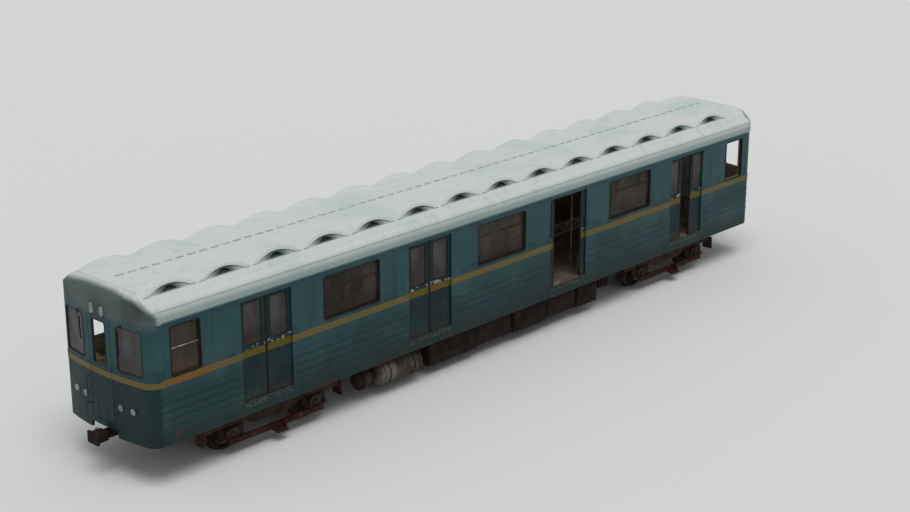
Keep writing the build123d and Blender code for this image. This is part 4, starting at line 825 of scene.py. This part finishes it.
def side_fittings():
    """Rivet rows of the side walls and a drip strip along each side of the roof."""
    rivets = Shape()
    first_x = SIDE_END_X - RIVET_INSET
    for side in (-1, 1):
        for k in range(RIVET_COUNT):
            x = first_x - k * 2 * first_x / (RIVET_COUNT - 1)
            for z in RIVET_ZS:
                place = (x, side * SKIN_Y, z)
                rivets.turned(place, (0, side, 0), ((-0.004, 0.008), (0.003, 0.005)), 6)
    rivets.piece("side_rivets", "car_body", "body_paint")
    strips = Shape()
    for side in (-1, 1):
        ends = [(x, side * DRIP_Y, DRIP_Z) for x in (SIDE_END_X, 0, -SIDE_END_X)]
        strips.tube(ends, 0.005, 6)
    strips.piece("drip_strips", "car_body", "roof_paint")


def scoop_cheeks():
    """Plates that narrow the mouth of each roof scoop to a smaller arch."""
    plates = Shape()
    steps = 12
    for k in range(SCOOP_COUNT):
        middle_x = SCOOP_FIRST_X - k * SCOOP_PITCH
        for side in (-1, 1):
            rings = []
            for step in range(-steps, steps + 1):
                share = step / steps
                edges = []
                for half, top, fall in (
                    (MOUTH_HALF_L, MOUTH_TOP_Z - 0.012, MOUTH_FALL),
                    (CORE_HALF_L, CORE_TOP_Z, CORE_FALL),
                ):
                    u = half * share
                    z = top - fall * u * u
                    y = side * (CHEEK_Y + (MOUTH_TOP_Z - z) * CHEEK_SLOPE)
                    edges.append(Vector((middle_x + u, y, z)))
                outer, inner = edges
                back = Vector((0, -side * 0.006, 0))
                rings.append([outer, outer + back, inner + back, inner])
            plates.skin(rings)
    plates.piece("scoop_cheeks", "car_body", "roof_paint", cheek_paint())


def ridge_clips():
    """Short clips along the roof's ridge joint."""
    clips = Shape()
    for k in range(int(2 * RIDGE_END_X / RIDGE_PITCH) + 1):
        x = RIDGE_END_X - k * RIDGE_PITCH
        low = (x - RIDGE_LENGTH / 2, -0.032, ROOF_TOP_Z - 0.006)
        clips.box(low, (x + RIDGE_LENGTH / 2, 0.032, ROOF_TOP_Z + 0.008), 0.004)
    finish = plain("ridge_clips", srgb(176, 178, 172), srgb(150, 152, 147), roughness=0.8)
    clips.piece("ridge_clips", "car_body", "roof_paint", finish)


def sill_pipes():
    """Air pipes under the left and right sills, with a clamp at every bearer."""
    pipes = Shape()
    for side in (-1, 1):
        for y, radius in SILL_PIPES:
            ends = (SILL_PIPE_END_X, 0, -SILL_PIPE_END_X)
            pipes.tube([(x, side * y, SILL_PIPE_Z) for x in ends], radius)
        for k in range(CLAMP_COUNT):
            xs = about(CLAMP_FIRST_X - k * CLAMP_PITCH, 0.018)
            pipes.side_box(side, xs, (1.148, 1.236), (0.778, 0.84))
    pipes.piece("sill_pipes", "car_body", "underframe")


def equipment_details(node, side):
    """Hinges, latches and corner bolts on the boxes' covers, and louvres on every other one."""
    metal = Shape()
    for number, (low, high) in enumerate(solid_boxes(node, below=EQUIPMENT_TOP_Z)):
        out = max(abs(low.y), abs(high.y))
        width = high.x - low.x
        proud = (out - 0.004, out + 0.014)
        for share in (0.25, 0.75):
            x = low.x + share * width
            metal.side_box(side, about(x, 0.05), proud, (0.655, 0.69))
            metal.side_box(side, about(x, 0.018), proud, (low.z + 0.07, low.z + 0.15))
            latch = (x, side * out, low.z + 0.13)
            metal.turned(latch, (0, side, 0), ((0, 0.01), (0.024, 0.008)), 8)
        for x in (low.x + 0.085, high.x - 0.085):
            for z in (low.z + 0.085, 0.67):
                metal.bolt((x, side * out, z), (0, side, 0), 0.009)
        if number % 2 == 0 and width > 0.6:
            for row in range(7):
                z = low.z + 0.2 + row * 0.045
                xs, ys = (low.x + 0.2, high.x - 0.2), (out - 0.004, out + 0.012)
                metal.side_box(side, xs, ys, (z, z + 0.016), 0.006)
    metal.piece(f"{node}_details", "car_body", "equipment")


def reservoir_details():
    """Straps and weld beads round each reservoir, a drain cock and a pipe to the sill."""
    metal = Shape()
    for low, high in solid_boxes("air_reservoir", below=0.5):
        radius = (high.y - low.y) / 2
        middle_y, middle_z = low.y + radius, low.z + radius
        length = high.x - low.x
        for share, thick in ((0.13, 0.006), (0.24, 0.014), (0.76, 0.014), (0.87, 0.006)):
            place = Vector((low.x + share * length, middle_y, middle_z))
            ring = circle(place, ACROSS, UP, radius + 0.002, 48)
            metal.tube(ring, thick, 6, closed=True)
        drain = (low.x + 0.5 * length, middle_y, low.z + 0.004)
        cock = ((0, 0.018), (0.02, 0.018), (0.022, 0.009), (0.05, 0.009))
        metal.turned(drain, -UP, cock, 10)
        pipe = [(low.x + 0.01, middle_y, middle_z), (low.x - 0.05, middle_y, middle_z)]
        pipe += [(low.x - 0.07, middle_y, middle_z + 0.03), (low.x - 0.07, middle_y, 0.87)]
        metal.tube(pipe, 0.014)
    metal.piece("reservoir_details", "car_body", "reservoir", FINISHES["underframe"])


def coil(shape, foot, height, radius, wire, turns):
    """Coil spring that stands on foot."""
    steps = int(turns * 14)
    points = []
    for k in range(steps + 1):
        turn = 2 * math.pi * turns * k / steps
        offset = (radius * math.cos(turn), radius * math.sin(turn), height * k / steps)
        points.append(Vector(foot) + Vector(offset))
    shape.tube(points, wire, 6)


def bogie_details(end):
    """Springs, bolts, a pipe and beam straps of one bogie."""
    middle_x = BOGIE_XS[end]
    springs, bolts, straps = Shape(), Shape(), Shape()
    for side in (-1, 1):
        facing = (0, side, 0)
        for axle_x in (middle_x - AXLE_SHIFT, middle_x + AXLE_SHIFT):
            for shift in (-SPRING_SHIFT, SPRING_SHIFT):
                foot = (axle_x + shift, side * SPRING_Y, WING_TOP_Z + 0.012)
                coil(springs, foot, 0.166, 0.074, 0.013, 4.5)
            cover = Vector((axle_x, side * COVER_FACE_Y, AXLE_Z))
            for place in circle(cover, AHEAD, UP, 0.044, 6):
                bolts.bolt(place, facing, 0.006)
            for u in (-0.115, 0.115):
                for v in (-0.1, 0.1):
                    bolts.bolt((axle_x + u, side * BOX_FACE_Y, AXLE_Z + v), facing, 0.011)
        for k in range(9):
            bolts.bolt((middle_x - 1.6 + 0.4 * k, side * FRAME_FACE_Y, 0.64), facing, 0.011)
        pipe = [(middle_x + x, side * 0.985, 0.716) for x in (-1.5, 0, 1.5)]
        bolts.tube(pipe, 0.014)
        for x in (-1.14, -0.6, 0.6, 1.14):
            ys, zs = (BEAM_FACE_Y - 0.076, BEAM_FACE_Y), (0.246, 0.354)
            straps.side_box(side, about(middle_x + x, 0.035), ys, zs, 0.002)
            for z in (0.28, 0.32):
                straps.bolt((middle_x + x, side * BEAM_FACE_Y, z), facing, 0.008)
    springs.piece(f"springs_{end}", f"bogie_{end}", "bogie")
    bolts.piece(f"bogie_bolts_{end}", f"bogie_{end}", "bogie", FINISHES["underframe"])
    straps.piece(f"beam_straps_{end}", f"bogie_{end}", "bogie")


def coupler_details(end, sign):
    """Bolts behind the flange and cocks of the air pipes on the coupler's head."""
    metal = Shape()
    for y in (-0.155, 0.155):
        for z in (COUPLER_Z - 0.07, COUPLER_Z, COUPLER_Z + 0.07):
            place = (sign * (COUPLER_TIP_X - 0.036), y, z)
            metal.bolt(place, (-sign, 0, 0), 0.009)
    head = sign * (COUPLER_TIP_X - 0.13)
    for y in (-0.08, 0.08):
        foot = (head, y, COUPLER_TOP_Z)
        metal.turned(foot, UP, ((0, 0.02), (0.018, 0.02), (0.02, 0.012)))
        metal.tube([(head, y, 0.88), (head, y, 0.90), (head - sign * 0.05, y, 0.905)], 0.008, 6)
    metal.piece(f"coupler_{end}_details", f"coupler_{end}", "bogie")


def cushion(shape, middle, along, across, out, size, crown):
    """Crowned cushion: size is its length, width and thickness; its middle crowns by crown."""
    length, width, thickness = size
    count_u, count_v = 14, 8
    middle = Vector(middle)
    sheets = []
    for face in (1, -1):
        rows = []
        for i in range(count_u + 1):
            s = 2 * i / count_u - 1
            row = []
            for j in range(count_v + 1):
                t = 2 * j / count_v - 1
                rim = (1 - abs(s) ** 6) * (1 - abs(t) ** 4)
                dome = crown * (1 - s * s) * (1 - t * t) if face > 0 else 0
                lift = thickness / 2 * rim ** 0.3 + dome
                u = s * length / 2 * (1 - 0.012 * (1 - t * t))
                v = t * width / 2 * (1 - 0.03 * (1 - s * s))
                row.append(middle + u * along + v * across + face * lift * out)
            rows.append(row)
        sheets.append(rows)
    top = [[shape.form.verts.new(point) for point in row] for row in sheets[0]]
    under = []
    for i, row in enumerate(sheets[1]):
        edge = i in (0, count_u)
        last = len(row) - 1
        under.append([
            top[i][j] if edge or j in (0, last) else shape.form.verts.new(point)
            for j, point in enumerate(row)
        ])
    for rows in (top, under):
        for one, other in zip(rows, rows[1:]):
            for j in range(count_v):
                shape.form.faces.new((one[j], one[j + 1], other[j + 1], other[j]))


def seating():
    """Benches with cushions in the place of the plain seats."""
    bench, frames = Shape(), Shape()
    pads, backs = Shape(), Shape()
    base = (BENCH_FRONT_Y, BENCH_WALL_Y), (BENCH_FOOT_Z, BENCH_TOP_Z)
    rest = (BENCH_BACK_Y, BENCH_WALL_Y), (BENCH_TOP_Z, BACK_TOP_Z)
    for low, high in solid_boxes("seats"):
        side = 1 if high.y > 0 else -1
        length = high.x - low.x
        for ys, zs in (base, rest):
            bench.side_box(side, (low.x, high.x), ys, zs, 0.008)
        for k in range(int(length / 0.12)):
            x = low.x + 0.06 + k * 0.12
            frames.side_box(side, (x, x + 0.08), (0.942, 0.952), (1.1, 1.3))
        frames.tube([(low.x, side * 0.83, 1.39), (high.x, side * 0.83, 1.39)], 0.012)
        count = round(length / 0.92)
        part = length / count
        for k in range(count):
            x = low.x + (k + 0.5) * part
            size = (part - 0.01, 0.38, 0.08)
            cushion(pads, (x, side * 0.995, 1.435), AHEAD, ACROSS, UP, size, 0.014)
            size = (part - 0.01, 0.42, 0.06)
            cushion(backs, (x, side * 1.155, 1.69), AHEAD, UP, -side * ACROSS, size, 0.012)
    benches = bench.piece("seat_benches", "car_body", "lining")
    frames.piece("bench_grilles", "car_body", "rail_metal")
    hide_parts("seats")
    pads.piece("seat_cushions", "car_body", "seat")
    backs.piece("seat_backs", "car_body", "seat")


def cab_details():
    """Gauges, levers and switches on the desk, and the driver's cushions."""
    metal, dials = Shape(), Shape()
    tilt = Vector((-0.447, 0, 0.894))
    start = Vector((8.84, -1.02, 1.937))
    for k in range(5):
        place = start + Vector((0.14, 0.125 * k, 0.07))
        metal.turned(place, tilt, ((-0.01, 0.05), (0.012, 0.05), (0.014, 0.044)), 20)
        dials.turned(place + 0.014 * tilt, tilt, ((-0.004, 0.042), (0.001, 0.042)), 20)
    switch = ((-0.004, 0.014), (0.004, 0.014), (0.005, 0.006), (0.022, 0.005))
    for k in range(8):
        metal.turned(start + 0.07 * k * ACROSS, tilt, switch, 10)
    for y, reach in ((-0.62, 0.12), (-0.98, 0.09)):
        place = Vector((8.90, y, 1.967))
        metal.turned(place, tilt, ((-0.01, 0.035), (0.02, 0.03), (0.06, 0.014)), 16)
        metal.tube([place + 0.06 * tilt, place + 0.07 * tilt + Vector((-reach, 0, 0.02))], 0.009)
    metal.piece("desk_controls", "car_body", "rail_metal")
    white = plain("dial_faces", srgb(170, 168, 156), srgb(150, 146, 132), scale=30.0, roughness=0.4)
    dials.piece("desk_dials", "car_body", "lamp", white)
    pan, back = Shape(), Shape()
    cushion(pan, (8.38, DRIVER_Y, 1.565), AHEAD, ACROSS, UP, (0.42, 0.42, 0.06), 0.02)
    cushion(back, (8.245, DRIVER_Y, 1.76), ACROSS, UP, AHEAD, (0.4, 0.36, 0.05), 0.015)
    pan.piece("driver_cushion", "car_body", "seat")
    back.piece("driver_back", "car_body", "seat")


def ceiling_lamps():
    """Two rows of bowl lamps with rims."""
    bowls, rims = Shape(), Shape()
    bowl = ((0.004, 0.085), (0.03, 0.076), (0.05, 0.05), (0.058, 0.015))
    for k in range(CEILING_LAMP_COUNT):
        x = CEILING_LAMP_X - k * DOOR_PITCH / 4
        for side in (-1, 1):
            place = (x, side * CEILING_LAMP_Y, CEILING_LAMP_Z)
            rims.turned(place, -UP, ((-0.03, 0.1), (0.004, 0.1), (0.008, 0.092)), 20)
            bowls.turned(place, -UP, bowl, 20)
    rims.piece("lamp_rims", "car_body", "rail_metal")
    shade = plain("lamp_bowls", srgb(206, 202, 186), srgb(182, 176, 158), roughness=0.35)
    bowls.piece("lamp_bowls", "car_body", "lamp", shade)


for node in sorted(NODES):
    if node.startswith("leaf_"):
        split_leaf(node)
        leaf_trim(node)
window_rubbers()
end_rubbers("cab_screen_rubbers", "car_body", SCREENS, 1)
end_rubbers("rear_screen_rubbers", "car_body", SCREENS, -1)
end_rubbers("cab_door_rubber", "cab_door", DOOR_PANE, 1)
end_rubbers("rear_door_rubber", "rear_door", DOOR_PANE, -1)
end_fittings()
door_fittings()
side_fittings()
scoop_cheeks()
ridge_clips()
sill_pipes()
equipment_details("equipment_left", 1)
equipment_details("equipment_right", -1)
reservoir_details()
for end in ("front", "rear"):
    bogie_details(end)
coupler_details("front", 1)
coupler_details("rear", -1)
seating()
cab_details()
ceiling_lamps()


def studio():
    """Pale floor and backdrop. The backdrop is brighter where it is seen than where it lights."""
    shape = bmesh.new()
    bmesh.ops.create_grid(shape, x_segments=1, y_segments=1, size=90.0)
    mesh = mesh_of("studio_floor", shape)
    grey = Paint("studio_floor", roughness=0.9, specular=0.5)
    grey.colour = srgb(214, 214, 212)
    mesh.materials.append(grey.finish())
    floor = placed("studio_floor", mesh)

    world = bpy.data.worlds.new("studio")
    bpy.context.scene.world = world
    world.use_nodes = True
    tree = world.node_tree
    background = tree.nodes["Background"]
    background.inputs["Color"].default_value = srgb(225, 228, 232)
    path = tree.nodes.new("ShaderNodeLightPath")
    seen = tree.nodes.new("ShaderNodeMath")
    seen.operation = "MAXIMUM"
    tree.links.new(path.outputs["Is Camera Ray"], seen.inputs[0])
    tree.links.new(path.outputs["Is Glossy Ray"], seen.inputs[1])
    level = tree.nodes.new("ShaderNodeMapRange")
    level.inputs["To Min"].default_value = 0.62
    level.inputs["To Max"].default_value = 1.0
    tree.links.new(seen.outputs[0], level.inputs["Value"])
    tree.links.new(level.outputs[0], background.inputs["Strength"])


studio()

# Soft sun
SUN_ELEVATION, SUN_AZIMUTH = 72, 60
light = bpy.data.lights.new("sun_top", "SUN")
light.energy = 1.6
light.angle = math.radians(40)
lamp = placed("sun_top", light)
lamp.rotation_euler = (math.radians(90 - SUN_ELEVATION), 0, math.radians(SUN_AZIMUTH + 90))

# Camera at the photograph's place
CAMERA_PLACE = (26.754, 25.129, 14.395)
CAMERA_YAW, CAMERA_PITCH = -136.745, 18.824
camera_data = bpy.data.cameras.new("camera")
camera_data.lens = 70.105
camera_data.sensor_width = 36.0
camera_data.clip_end = 300.0
camera = placed("camera", camera_data)
camera.location = CAMERA_PLACE
camera.rotation_euler = (math.radians(90 - CAMERA_PITCH), 0, math.radians(CAMERA_YAW - 90))
bpy.context.scene.camera = camera
bpy.context.scene.view_settings.view_transform = "Standard"
